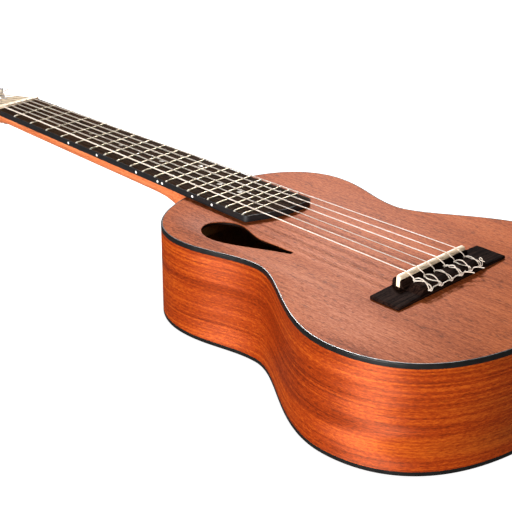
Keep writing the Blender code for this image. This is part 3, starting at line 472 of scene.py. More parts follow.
def spline(keys, step=0.5):
    """Dense centripetal Catmull-Rom points through the keys."""
    k = [Vector(p) for p in keys]
    k = [k[0] * 2 - k[1]] + k + [k[-1] * 2 - k[-2]]
    out = []
    for i in range(1, len(k) - 2):
        p0, p1, p2, p3 = k[i - 1:i + 3]
        t1 = max((p1 - p0).length, 1e-6) ** 0.5
        t2 = t1 + max((p2 - p1).length, 1e-6) ** 0.5
        t3 = t2 + max((p3 - p2).length, 1e-6) ** 0.5
        n = max(2, int((p2 - p1).length / step))
        for j in range(n):
            t = t1 + (t2 - t1) * j / n
            a1 = p0 * ((t1 - t) / t1) + p1 * (t / t1)
            a2 = p1 * ((t2 - t) / (t2 - t1)) + p2 * ((t - t1) / (t2 - t1))
            a3 = p2 * ((t3 - t) / (t3 - t2)) + p3 * ((t - t2) / (t3 - t2))
            b1 = a1 * ((t2 - t) / t2) + a2 * (t / t2)
            b2 = a2 * ((t3 - t) / (t3 - t1)) + a3 * ((t - t1) / (t3 - t1))
            out.append(b1 * ((t2 - t) / (t2 - t1)) + b2 * ((t - t1) / (t2 - t1)))
    out.append(k[-2])
    return out


def smoothstep(t):
    t = min(1.0, max(0.0, t))
    return t * t * (3 - 2 * t)


def curve_through(table, x):
    if x <= table[0][0]:
        return table[0][1]
    for i in range(len(table) - 1):
        (x0, v0), (x1, v1) = table[i], table[i + 1]
        if x <= x1:
            def slope(k):
                if k == 0 or k == len(table) - 1:
                    return 0.0
                return (table[k + 1][1] - table[k - 1][1]) / (table[k + 1][0] - table[k - 1][0])
            h = x1 - x0
            t = (x - x0) / h
            s0, s1 = slope(i) * h, slope(i + 1) * h
            return ((2 * t ** 3 - 3 * t ** 2 + 1) * v0 + (t ** 3 - 2 * t ** 2 + t) * s0 + (-2 * t ** 3 + 3 * t ** 2) * v1 + (t ** 3 - t ** 2) * s1)
    return table[-1][1]


def bezier(p0, p1, p2, p3, n):
    out = []
    for i in range(n):
        t = i / n
        a, b, c, d = (1 - t) ** 3, 3 * (1 - t) ** 2 * t, 3 * (1 - t) * t * t, t ** 3
        out.append((a * p0[0] + b * p1[0] + c * p2[0] + d * p3[0], a * p0[1] + b * p1[1] + c * p2[1] + d * p3[1]))
    return out


# ---- the body's measures ---------------------------------------------------------
SCALE, FRETS = 433.0, 20
BOARD_W_NUT, BOARD_W_LAST, BOARD_TOP = 41.3, 53.9, 4.43
TOP_T, BACK_T, SIDE_T, BIND_W, BIND_H, BACK_BIND_H = 2.2, 2.2, 2.0, 1.07, 3.2, 2.9
STEPS = 44


def half_outline(n=STEPS):
    nk, u, w, lo, t = (236.8, 0.0, 0.0, 48.0), (291.6, 78.7, 33.0, 22.9), (351.0, 67.3, 20.5, 24.0), (449.5, 110.3, 40.9, 34.5), (529.4, 0.0, 91.5)
    pts = bezier(nk[:2], (nk[0], nk[3]), (u[0] - u[2], u[1]), u[:2], n)
    pts += bezier(u[:2], (u[0] + u[3], u[1]), (w[0] - w[2], w[1]), w[:2], n // 2)
    pts += bezier(w[:2], (w[0] + w[3], w[1]), (lo[0] - lo[2], lo[1]), lo[:2], n)
    pts += bezier(lo[:2], (lo[0] + lo[3], lo[1]), (t[0], t[2]), t[:2], n + n // 3)
    return pts + [t[:2]]


HALF = half_outline()
ARC = [0.0]
for a, b in zip(HALF, HALF[1:]):
    ARC.append(ARC[-1] + math.hypot(b[0] - a[0], b[1] - a[1]))


def inset_half(d, y0=0.0):
    out = []
    for i, (x, y) in enumerate(HALF):
        if i == 0:
            out.append((x + d, y0))
        elif i == len(HALF) - 1:
            out.append((x - d, y0))
        else:
            tx, ty = HALF[i + 1][0] - HALF[i - 1][0], HALF[i + 1][1] - HALF[i - 1][1]
            k = math.hypot(tx, ty)
            out.append((x + d * ty / k, y - d * tx / k))
    return out


def full_loop(d):
    h = inset_half(d)
    return h + [(x, -y) for x, y in reversed(h[1:-1])]


LOOP_ARC = ARC + [-a for a in reversed(ARC[1:-1])]


def half_width(x):
    for (x0, y0), (x1, y1) in zip(HALF, HALF[1:]):
        if x0 <= x <= x1 and x1 > x0:
            return y0 + (x - x0) / (x1 - x0) * (y1 - y0)
    return 0.0


def front_x(y):
    y = abs(y)
    for (x0, y0), (x1, y1) in zip(HALF, HALF[1:]):
        if y0 <= y <= y1:
            return x0 + (x1 - x0) * (y - y0) / (y1 - y0)
    return HALF[0][0]


def edge_depth(x):
    return 71.45 + 0.0231 * (x - 400) - 1.813e-4 * (x - 400) ** 2


def rest_depth(x):
    return REST_DEPTH + REST_SLOPE * (x - REST_X)


def back_depth(x, y):
    w = half_width(x)
    return min(edge_depth(x) + max(0.0, w * w - y * y) / (2 * 2758.0), rest_depth(x))


# ---- soundboard with its drop-shaped hole -----------------------------------------
HOLE_KNOTS = (
    (284.0, -46.5, (0.6, 6.2), (-0.4, -8.2)),
    (303.0, -61.7, (-10.0, 0.0), (15.0, 0.0)),
    (354.0, -41.7, (-14.5, -4.6), (1.3, 0.4)),
    (355.7, -39.7, (-0.1, -1.2), (-0.1, 1.1)),
    (353.8, -37.9, (1.1, 0.2), (-7.0, -1.0)),
    (334.0, -38.8, (9.5, 1.2), (-12.5, -2.0)),
    (301.0, -32.0, (8.0, 0.0), (-9.5, 0.0)),
)


def hole_loop():
    pts, n = [], len(HOLE_KNOTS)
    for i in range(n):
        x, y, _, out = HOLE_KNOTS[i]
        x2, y2, into, _ = HOLE_KNOTS[(i + 1) % n]
        pts += bezier((x, y), (x + out[0], y + out[1]), (x2 + into[0], y2 + into[1]), (x2, y2), 8 if i in (2, 3) else 24)
    return pts


slab([full_loop(BIND_W), hole_loop()], 0.0, -TOP_T, 0.35, 4, 0.0, (0, 0, 1, 2)).make(
    "soundboard_skin", [TOP_WOOD, INNER_SKIN, HOLE_EDGE], smooth=20, replaces=["soundboard"])


def rim(name, profile, mat, replaces, sign=None, mats=None):
    """A profile of (inset, z as a function of x) carried round the body's outline; sign picks one half."""
    s = Shape()
    if sign is None:
        cols = [full_loop(d) for d, _ in profile]
        arcs = LOOP_ARC
    else:
        cols = [[(x, sign * y) for x, y in inset_half(d, 0.03)] for d, _ in profile]
        arcs = ARC
    n = len(cols[0])
    rings = []
    for i in range(n):
        pts, gs = [], []
        for c, (d, z) in zip(cols, profile):
            x, y = c[i]
            zz = z(HALF[i][0] if i < len(HALF) else HALF[2 * len(HALF) - 2 - i][0])
            pts.append((x, y, zz))
            gs.append((arcs[i], zz, d))
        rings.append(s.ring(pts, gs))
    k = len(profile)
    for i in range(n if sign is None else n - 1):
        a, b = rings[i], rings[(i + 1) % n]
        for j in range(k):
            jj = (j + 1) % k
            s.face((a[j], a[jj], b[jj], b[j]), mats[j] if mats else 0)
    if sign is not None:
        s.face(rings[0], 0)
        s.face(rings[-1], 0)
    return s.make(name, mat, smooth=38, replaces=replaces)


def arc_profile(r, top, steps=5):
    """Rounded outer corner, from the face to the side."""
    return [(r * (1 - math.sin(a)), (lambda x, dz=r * (1 - math.cos(a)): top(x) - dz)) for a in [math.pi / 2 * i / steps for i in range(steps + 1)]]


ZERO = lambda x: 0.0
LOW = lambda x: -edge_depth(x)
rim("binding_top_skin", [(BIND_W, ZERO)] + arc_profile(0.75, ZERO) + [(0.0, lambda x: -BIND_H), (BIND_W, lambda x: -BIND_H)],
    BLACK, ["binding_top"])
low_corner = [(0.5 * (1 - math.cos(a)), (lambda x, dz=0.5 * (1 - math.sin(a)): -edge_depth(x) + dz)) for a in [math.pi / 2 * i / 4 for i in range(5)]]
rim("binding_back_skin", [(BIND_W, lambda x: -edge_depth(x) + BACK_BIND_H), (0.0, lambda x: -edge_depth(x) + BACK_BIND_H)] + low_corner + [(BIND_W, LOW)],
    BLACK, ["binding_back"])
SIDE_TOP = lambda x: -BIND_H
SIDE_LOW = lambda x: -edge_depth(x) + BACK_BIND_H


def side_row(f):
    return lambda x: SIDE_TOP(x) * (1 - f) + SIDE_LOW(x) * f


for side, sign in (("side_bass", -1), ("side_treble", 1)):
    outer = [(0.0, side_row(f)) for f in (0.0, 0.25, 0.5, 0.75, 1.0)]
    inner = [(SIDE_T, side_row(f)) for f in (1.0, 0.5, 0.0)]
    rim(side + "_skin", outer + inner, [SIDE_WOOD, INNER_SKIN], [side], sign, [0, 0, 0, 0, 1, 1, 1, 1])


# ---- back: shallow dome with the flat that it rests on -------------------------------
def back_skin():
    s = Shape()
    st = inset_half(BIND_W)
    cols = 41
    rows = []
    for i, (x, w) in enumerate(st):
        if i in (0, len(st) - 1):
            rows.append(([s.point((x, 0, -edge_depth(x)))], [s.point((x, 0, -edge_depth(x) + BACK_T))]))
            continue
        lo, hi = [], []
        for j in range(cols):
            t = -1 + 2 * j / (cols - 1)
            y = w * t
            z = -edge_depth(x) if j in (0, cols - 1) else -back_depth(x, y)
            lo.append(s.point((x, y, z)))
            hi.append(s.point((x, y, z + BACK_T)))
        rows.append((lo, hi))
    for (al, ah), (bl, bh) in zip(rows, rows[1:]):
        for a, b, mat in ((al, bl, 0), (ah, bh, 1)):
            if len(a) == 1:
                for j in range(cols - 1):
                    s.face((a[0], b[j], b[j + 1]), mat)
            elif len(b) == 1:
                for j in range(cols - 1):
                    s.face((a[j], b[0], a[j + 1]), mat)
            else:
                for j in range(cols - 1):
                    s.face((a[j], b[j], b[j + 1], a[j + 1]), mat)
        s.face((al[0], bl[0], bh[0], ah[0]))
        s.face((al[-1], bl[-1], bh[-1], ah[-1]))
    return s.make("back_skin", [BACK_WOOD, INNER_SKIN], smooth=30, replaces=["back"], merge=0.001)


back_skin()


# ---- neck with its heel and head ---------------------------------------------------
HEAD_T, HEAD_LEN, VENEER_T, GAP = 12.5, 152.0, 1.5, 0.3
POST_S, POST_Y, POST_R, POST_UP = (47.5, 83.0, 118.5), 18.0, 3.0, 10.0
NECK_DEPTH = ((-48.0, 19.0), (-30.0, 17.2), (-15.0, 15.0), (-5.0, 13.0), (8.0, 11.8), (30.0, 12.2), (120.0, 13.7),
              (196.0, 14.8), (206.0, 15.6), (212.0, 17.0), (216.0, 19.6), (219.0, 23.6), (221.5, 29.5), (223.5, 37.0),
              (225.5, 46.0), (227.5, 55.0), (229.2, 62.0))
HEEL_X, HEEL_CAP = 229.2, 0.35
ROW = 41


def fret_x(n):
    return SCALE * (1 - 2 ** (-n / 12))


def board_half(x):
    return (BOARD_W_NUT + (BOARD_W_LAST - BOARD_W_NUT) * x / fret_x(FRETS)) / 2


def head_half(s):
    return curve_through(((0, 20.7), (10, 21.6), (24, 26.2), (36, 28.6), (60, 28.7), (100, 29.6), (140, 30.6), (152, 30.8)), s)


def head_crown(y):
    t = min(1.0, abs(y) / 30.8)
    return HEAD_LEN - 3.5 * t * t - 5.0 * max(0.0, t - 0.82) ** 1.5 / 0.18 ** 1.5


def neck_section(x):
    w = board_half(max(x, 0.0))
    d = curve_through(NECK_DEPTH, x)
    heel = smoothstep((d - 15.5) / 30)
    n = 2.0
    if x > 150.0:
        n += 0.6 * smoothstep((d - 32.0) / 30) - 0.4 * smoothstep((d - 15.0) / 12)
    top, low = [], []
    for j in range(ROW):
        a = math.pi * j / (ROW - 1)
        c, sn = math.cos(a), math.sin(a)
        y = -w * math.copysign(abs(c) ** (2 / n), c)
        z = -d * max(sn, 0.0) ** (2 / n)
        narrow = 1 - 0.30 * heel * smoothstep(-z / 60)
        top.append((x, -w * c, 0.0))
        low.append((x, y * narrow, min(z, -0.9)))
    return top, low, d


def neck_skin():
    rings = []
    ca, sa = math.cos(HEAD_ANGLE), math.sin(HEAD_ANGLE)
    stations = [("crown", 0.0), ("crown", 1.5), ("crown", 3.5)] + [("s", 144.0 - 4.0 * i) for i in range(27)] + [("s", 36.0 - 2.0 * i) for i in range(18)] + [("s", 0.02)]
    for kind, val in stations:
        hs = HEAD_LEN - val if kind == "crown" else val
        w = head_half(hs)
        m = smoothstep(hs / 40.0)
        x0 = HEAD_X - min(hs, 146.0) * ca
        _, low, _ = neck_section(x0 if hs < 60 else -48.0)
        top_r, low_r = [], []
        for j in range(ROW):
            t = -math.cos(math.pi * j / (ROW - 1))
            y = w * t
            sj = head_crown(y) - val if kind == "crown" else min(hs, head_crown(y) - 5.0)
            top_r.append((HEAD_X - sj * ca, y, HEAD_Z - sj * sa))
            e = w * (1 - abs(t))
            rr = 2.4
            lift = rr - math.sqrt(max(0.0, rr * rr - (rr - e) ** 2)) if e < rr else 0.0
            if kind == "crown" and val < rr:
                lift = max(lift, rr - math.sqrt(max(0.0, rr * rr - (rr - val) ** 2)))
            zl = -HEAD_T + lift
            flat = (HEAD_X - sj * ca - zl * sa, y, HEAD_Z - sj * sa + zl * ca)
            xn, yn, zn = low[j]
            low_r.append(((1 - m) * x0 + m * flat[0], (1 - m) * yn + m * flat[1], (1 - m) * zn + m * flat[2]))
        rings.append(top_r + low_r[::-1])
    xs = [-5.1, -2.5, 0.0, 3.0, 6.0, 10.0, 14.0, 20.0] + [30.0 + 12.0 * i for i in range(14)] + [190.0, 195.0, 200.0, 203.0] + [206.0 + 1.2 * i for i in range(19)] + [228.4, HEEL_X]
    for x in xs:
        top, low, d = neck_section(x)
        if x == HEEL_X:
            low = [(px, py, pz * 64.0 / d) for px, py, pz in low]
        rings.append(top + low[::-1])
    for f in (0.25, 0.5, 0.75, 1.0):
        top, low, d = neck_section(HEEL_X)
        ring = []
        for x, y, z in top + [(px, py, pz * 64.0 / d) for px, py, pz in low][::-1]:
            end = front_x(y) - 0.02
            ring.append((HEEL_X + (end - HEEL_X) * f, y * (1 + 0.03 * f), z))
        rings.append(ring)
    s = Shape()
    made = []
    for r in rings:
        r = [(x, y, max(z, -rest_depth(x) + HEEL_CAP) if x > 215 else z) for x, y, z in r]
        made.append(s.ring(r))
    for a, b in zip(made, made[1:]):
        s.skin(a, b)
    for r in (made[0], made[-1]):
        h = len(r) // 2
        for j in range(h - 1):
            s.face((r[j], r[j + 1], r[len(r) - 2 - j], r[len(r) - 1 - j]))
    o = s.make("neck_skin", NECK_WOOD, smooth=40, replaces=["neck"])
    cut = Shape()
    for sx in POST_S:
        for y in (-POST_Y, POST_Y):
            lathe([(0.0, 6.0), (POST_R + 0.5, 6.0), (POST_R + 0.5, -18.0), (0.0, -18.0)], 32, (-sx, y), cut)
    carve(o, cut, HEAD, 40)
    return o


def carve(o, cutter, m, smooth):
    """Cut a shape out of a piece, for good."""
    me = bpy.data.meshes.new("cutter")
    me.from_pydata([m @ (Vector(p) * MM) for p in cutter.v], [], cutter.f)
    bm = bmesh.new()
    bm.from_mesh(me)
    bmesh.ops.recalc_face_normals(bm, faces=bm.faces)
    bm.to_mesh(me)
    bm.free()
    c = bpy.data.objects.new("cutter", me)
    scene.collection.objects.link(c)
    mod = o.modifiers.new("cut", "BOOLEAN")
    mod.operation, mod.solver, mod.object = "DIFFERENCE", "EXACT", c
    bpy.context.view_layer.update()
    new = bpy.data.meshes.new_from_object(o.evaluated_get(bpy.context.evaluated_depsgraph_get()))
    o.modifiers.clear()
    new.name = o.name
    o.data = new
    new.set_sharp_from_angle(angle=math.radians(smooth))
    bpy.data.objects.remove(c)


neck_skin()


def head_loop():
    right = [(-s, head_half(s)) for s in [0.05, 2.5] + [5.0 + 3.0 * i for i in range(46)] if s < 143]
    crown = []
    for i in range(49):
        y = 30.75 * math.cos(math.pi * i / 48)
        crown.append((-head_crown(y), y))
    return right + crown + [(x, -y) for x, y in reversed(right)]


slab([head_loop()] + [circle(-s, y, 4.3) for s in POST_S for y in (-POST_Y, POST_Y)], GAP + VENEER_T, 0.0, 0.35, 3).make(
    "head_veneer_skin", VENEER, m=HEAD, smooth=24, replaces=["head_veneer"])


# ---- fingerboard, frets, dots, nut ------------------------------------------------
def board_outline():
    end = [(308.2, 30.0)] + bezier((308.2, 27.4), (310.8, 23.0), (311.4, 12.0), (310.4, 5.0), 14)
    end += bezier((310.4, 5.0), (309.4, -5.0), (305.4, -14.0), (301.6, -23.6), 22)
    keep = []
    for x, y in end:
        h = board_half(x)
        if abs(y) < h - 0.15:
            keep.append((x, y))
    first = (308.2, board_half(308.2))
    yc = -board_half(298.0)          # the bass corner is rounded
    keep = [first] + keep + bezier((301.6, -23.6), (301.0, -25.4), (299.8, yc + 0.1), (297.4, yc), 9) + [(297.4, yc)]
    tre = [(x, board_half(x)) for x in [12.0 * i for i in range(25)] + [296.0, 303.0]]
    bass = [(x, -board_half(x)) for x in [294.0] + [288.0 - 12.0 * i for i in range(25)]]
    return tre + keep + bass


slab([board_outline()], BOARD_TOP, 0.02, 0.45, 4, 0.0, (0, 1, 1)).make("fingerboard_skin", [BOARD_WOOD, BOARD_EDGE], smooth=30,
                                                                       replaces=["fingerboard"])


def fret(n):
    s = Shape()
    x, half, base = fret_x(n), board_half(fret_x(n)) - 0.12, BOARD_TOP - 0.06
    c, top = 0.66, 0.9
    ends = [(0.0, 0.30), (0.10, 0.62), (0.3, 0.86), (0.65, 0.99), (1.0, 1.02), (1.3, 1.0), (1.8, 1.0)]
    ys = [(-half + e, h) for e, h in ends] + [(0.0, 1.0)] + [(half - e, h) for e, h in reversed(ends)]
    rings = []
    for y, h in ys:
        w = c * (0.72 + 0.28 * h) * (1.08 if h == 1.02 else 1.0)
        arc = [(x + w * math.cos(a), y, base + top * h * math.sin(a) ** 0.8) for a in [math.pi * i / 12 for i in range(13)]]
        rings.append(s.ring([(p[0], p[1], max(p[2], base)) for p in arc]))
    # The bevelled ends and end faces take the brighter copy of the fret metal: a painted highlight.
    for i, (a, b) in enumerate(zip(rings, rings[1:])):
        s.skin(a, b, mat=1 if i < 5 or i > len(rings) - 7 else 0)
    s.face(rings[0], 1)
    s.face(rings[-1], 1)
    s.make("fret_%02d_crown" % n, [FRET, FRET_END_PAINTED_HIGHLIGHT], smooth=50, replaces=["fret_%02d" % n])


for n in range(1, FRETS + 1):
    fret(n)


def dots():
    """Inlaid markers: on the bass edge, and on the face under the strings."""
    for n in (5, 7, 10, 12, 15, 17):
        x = (fret_x(n) + fret_x(n - 1)) / 2
        for off in ((-2.6, 2.6) if n == 12 else (0.0,)):
            xx = x + off
            s = Shape()
            y = -board_half(xx) - 0.03
            ring = s.ring([(xx + 0.95 * math.cos(a), y, 2.15 + 0.95 * math.sin(a)) for a in [2 * math.pi * i / 24 for i in range(24)]])
            back = s.ring([(xx + 0.95 * math.cos(a), y + 0.5, 2.15 + 0.95 * math.sin(a)) for a in [2 * math.pi * i / 24 for i in range(24)]])
            s.skin(ring, back)
            s.fan(ring, (xx, y - 0.04, 2.15))
            s.fan(back, (xx, y + 0.5, 2.15))
            s.make("side_dot_%d%s" % (n, "" if off == 0 else ("a" if off < 0 else "b")), DOT, smooth=40)
        for y in ((-14.0, 14.0) if n == 12 else (0.0,)):
            s = lathe([(0.0, BOARD_TOP + 0.03), (1.95, BOARD_TOP + 0.02), (2.05, BOARD_TOP - 0.02), (2.05, BOARD_TOP - 0.6), (0.0, BOARD_TOP - 0.6)],
                      32, (x, y))
            s.make("face_dot_%d%s" % (n, "" if y == 0 else ("a" if y < 0 else "b")), FACE_DOT, smooth=40)


dots()

STRING_DIA = (0.80, 0.90, 1.00, 0.80, 0.95, 1.10)


def string_y(k, x):
    return (29.9 + (48.1 - 29.9) * x / SCALE) * (0.5 - (k - 1) / 5)


def string_z(x):
    return 5.95 + (10.0 - 5.95) * x / SCALE


def nut():
    s = Shape()
    half, top = BOARD_W_NUT / 2, 6.35
    rings = []
    for x, drop, side in ((-5.1, 0.95, 0.25), (-4.8, 0.45, 0.08), (-4.2, 0.12, 0.0), (-2.6, 0.0, 0.0), (-0.9, 0.0, 0.0), (-0.35, 0.10, 0.03), (-0.02, 0.4, 0.15)):
        line = [(-half + side, 0.0), (-half + side, top - 0.8 - drop), (-half + side + 0.25, top - 0.3 - drop), (-half + side + 0.8, top - drop)]
        for k in range(6, 0, -1):
            y, r = string_y(k, -2.5), STRING_DIA[k - 1] / 2
            zc = 5.95
            line.append((y - r - 0.14, top - drop))
            for i in range(7):
                a = math.pi + math.pi * i / 6
                line.append((y + (r + 0.08) * math.cos(a), min(top - drop - 0.01, zc + (r + 0.08) * math.sin(a))))
            line.append((y + r + 0.14, top - drop))
        line += [(half - side - 0.8, top - drop), (half - side - 0.25, top - 0.3 - drop), (half - side, top - 0.8 - drop), (half - side, 0.0)]
        rings.append(s.ring([(x, y, z) for y, z in line]))
    for a, b in zip(rings, rings[1:]):
        s.skin(a, b)
    s.face(rings[0])
    s.face(rings[-1])
    s.make("nut_bone", BONE, smooth=40, replaces=["nut"])


nut()

# ---- bridge and saddle ---------------------------------------------------------------
BX0, BX1, BHALF, KHALF = 431.2, 453.3, 51.9, 31.7
SX0, SX1, SADDLE_TOP, TIE_Z, TIE_HOLE_Z = 434.0, 437.05, 9.5, 5.8, 3.75


def bridge():
    s = Shape()
    s0, s1 = SX0 - 0.05, SX1 + 0.05
    block = [(BX0, 0.0), (BX0, 2.2), (BX0 + 0.1, 4.6), (BX0 + 0.3, 6.2), (BX0 + 0.8, 7.2), (BX0 + 1.6, 7.8), (s0 - 0.2, 8.15), (s0, 7.95), (s0, 2.3),
             (s1, 2.3), (s1, 6.9), (s1 + 0.12, 7.05), (s1 + 0.8, 7.0), (s1 + 1.2, 6.7), (s1 + 1.9, 4.0), (s1 + 2.4, 2.7), (442.0, 2.5), (442.3, 2.6),
             (442.35, TIE_Z - 0.35), (442.75, TIE_Z), (447.0, TIE_Z + 0.05), (451.3, TIE_Z), (451.9, TIE_Z - 0.3), (452.6, 4.9), (453.1, 3.0), (BX1, 1.5), (BX1, 0.0)]

    def wing(y, h, inset):
        a, b = BX0 + inset, BX1 - inset
        out, n = [], len(block)
        for i, (x, z) in enumerate(block):
            x, z = min(max(x, a + 0.5), b - 0.5), h + 0.06 * math.cos((x - 442.2) / 11.0 * math.pi / 2)
            edge = {0: (a, 0.0), 1: (a, h - 0.35), 2: (a + 0.12, h - 0.1), n - 3: (b - 0.12, h - 0.1), n - 2: (b, h - 0.35), n - 1: (b, 0.0)}
            x, z = edge.get(i, (x, z))
            out.append((x, y, max(z, 0.0)))
        return out

    def height(y):
        t = (abs(y) - KHALF) / (BHALF - KHALF)
        return 2.35 - 0.5 * smoothstep(t)

    secs = [(-BHALF, -0.5, 0.45), (-BHALF + 0.15, -0.2, 0.2), (-BHALF + 0.45, -0.03, 0.04)] + [(-BHALF + 1.2 + i * (BHALF - KHALF - 1.9) / 5, 0.0, 0.0) for i in range(6)]
    secs.append((-KHALF - 0.02, 0.0, 0.0))
    rings = [s.ring(wing(y, height(y) + dz, ins)) for y, dz, ins in secs]

    def blk(y, soft):
        out = []
        for i, (x, z) in enumerate(block):
            lean = 4.3 * smoothstep((z - 2.3) / 3.6) if x > 441.9 else 0.0      # the tie block's ends slope
            out.append((x, y - math.copysign(lean, y), z - (soft if 2 < i < len(block) - 3 and z > 2.8 else 0.0)))
        return out

    for y, soft in ((-KHALF, 0.3), (-KHALF + 0.1, 0.09), (-KHALF + 0.35, 0.0), (KHALF - 0.35, 0.0), (KHALF - 0.1, 0.09), (KHALF, 0.3)):
        rings.append(s.ring(blk(y, soft)))
    rings += [s.ring(wing(-y, height(y) + dz, ins)) for y, dz, ins in reversed(secs)]
    for a, b in zip(rings, rings[1:]):
        s.skin(a, b)
    s.face(rings[0])
    s.face(rings[-1])
    s.g = [(y, x, z) for x, y, z in s.v]
    o = s.make("bridge_skin", BRIDGE_WOOD, smooth=28, replaces=["bridge"], merge=0.002)
    cut = Shape()
    for k in range(1, 7):
        r, ys = STRING_DIA[k - 1] / 2 + 0.3, string_y(k, SX1)
        a = cut.ring([(440.6, ys + r * math.cos(t), TIE_HOLE_Z + r * math.sin(t)) for t in [2 * math.pi * i / 20 for i in range(20)]])
        b = cut.ring([(455.0, ys + r * math.cos(t), TIE_HOLE_Z + r * math.sin(t)) for t in [2 * math.pi * i / 20 for i in range(20)]])
        cut.skin(a, b)
        cut.face(a)
        cut.face(b)
    carve(o, cut, LAY, 28)


bridge()


def saddle():
    s = Shape()
    rings = []
    half = KHALF - 0.2
    for y, drop, nar in ((-half, 0.75, 0.25), (-half + 0.18, 0.42, 0.08), (-half + 0.6, 0.15, 0.0), (-half + 1.6, 0.05, 0.0), (-half / 2, 0.0, 0.0), (0.0, -0.08, 0.0),
                         (half / 2, 0.0, 0.0), (half - 1.6, 0.05, 0.0), (half - 0.6, 0.15, 0.0), (half - 0.18, 0.42, 0.08), (half, 0.75, 0.25)):
        top = SADDLE_TOP - drop
        a, b = SX0 + nar, SX1 - nar
        mid, w = (a + b) / 2, (b - a) / 2
        crest = 0.57 * a + 0.43 * b
        prof = [(a, 2.35), (a, top - 0.45), (a + 0.06, top - 0.24), (a + 0.2, top - 0.08), (a + 0.42, top)]
        prof += [(crest - 0.3, top + 0.01), (crest, top - 0.01), (crest + 0.4, top - 0.12), (b - 0.4, top - 0.45), (b - 0.12, top - 0.62), (b, top - 0.85), (b, 2.35)]
        rings.append(s.ring([(x, y, z) for x, z in prof]))
    for a, b in zip(rings, rings[1:]):
        s.skin(a, b)
    s.face(rings[0])
    s.face(rings[-1])
    s.make("saddle_bone", BONE, smooth=40, replaces=["saddle"])


saddle()

# ---- strings, with their knots at the bridge and their windings at the posts ------------
POST_OF = {6: (0, -1), 5: (1, -1), 4: (2, -1), 1: (0, 1), 2: (1, 1), 3: (2, 1)}
FACE = GAP + VENEER_T
HEAD_LOCAL = Matrix.Translation((HEAD_X, 0, HEAD_Z)) @ Matrix.Rotation(-HEAD_ANGLE, 4, "Y")


def coil_radius(k):
    return 2.35 + STRING_DIA[k - 1] / 2


def string(k):
    r = STRING_DIA[k - 1] / 2
    idx, sg = POST_OF[k]
    rc = coil_radius(k)
    z_in = FACE + 4.0 + 2.2 * r
    # tangent point on the winding's inner side
    nut_y = string_y(k, -4.9)
    px, py = -POST_S[idx], sg * POST_Y
    ang = math.atan2(nut_y - py, -px)
    dist = math.hypot(nut_y - py, -px)
    off = math.acos(min(1.0, (rc + 0.02) / dist))
    a = ang - sg * off if sg > 0 else ang + off
    tang = (px + rc * math.cos(a), py + rc * math.sin(a))
    end = HEAD_LOCAL @ Vector((tang[0], tang[1], z_in))
    keys = [end, Vector((-5.15, nut_y, 5.55))]
    first = [end + (keys[1] - end) * (i / 24) for i in range(24)]
    path = first + spline([(-5.15, nut_y, 5.60), (-4.3, string_y(k, -4.3), 5.86), (-2.4, string_y(k, -2.4), 5.95), (0.0, string_y(k, 0.0), 5.96)], 0.6)[:-1]
    n = 60
    path += [Vector((x, string_y(k, x), string_z(x))) for x in [434.0 * i / n for i in range(n)]]
    ys = string_y(k, SX1)
    top = SADDLE_TOP + r - 0.02
    path += spline([(434.0, string_y(k, 434.0), string_z(434.0)), (434.9, ys, top + 0.04), (435.6, ys, top), (436.3, ys, top - 0.16), (437.2, ys, top - 0.55),
                    (438.6, ys, top - 1.18), (440.0, ys, top - 1.82), (441.1, ys, top - 2.35), (441.65, ys, 6.75), (441.8, ys, 5.9), (441.8, ys, 4.7), (441.98, ys, TIE_HOLE_Z + 0.12),
                    (442.7, ys, TIE_HOLE_Z), (444.0, ys, TIE_HOLE_Z), (452.4, ys, TIE_HOLE_Z)], 0.3)[:-1]
    path += knot(k, ys)
    last = len(path) - 1
    s = tube(path, lambda f: r * shown(k, path[min(last, round(f * last))].x), 12)
    s.make("string_%d_whole" % k, WOUND if k >= 4 else NYLON, smooth=60, replaces=["string_%d" % k])


def shown(k, x):
    """Strings are drawn slimmer than their nodes, most of all at the bridge."""
    return 0.97 - (0.38 if k == 6 else 0.30) * smoothstep(x / 430.0)



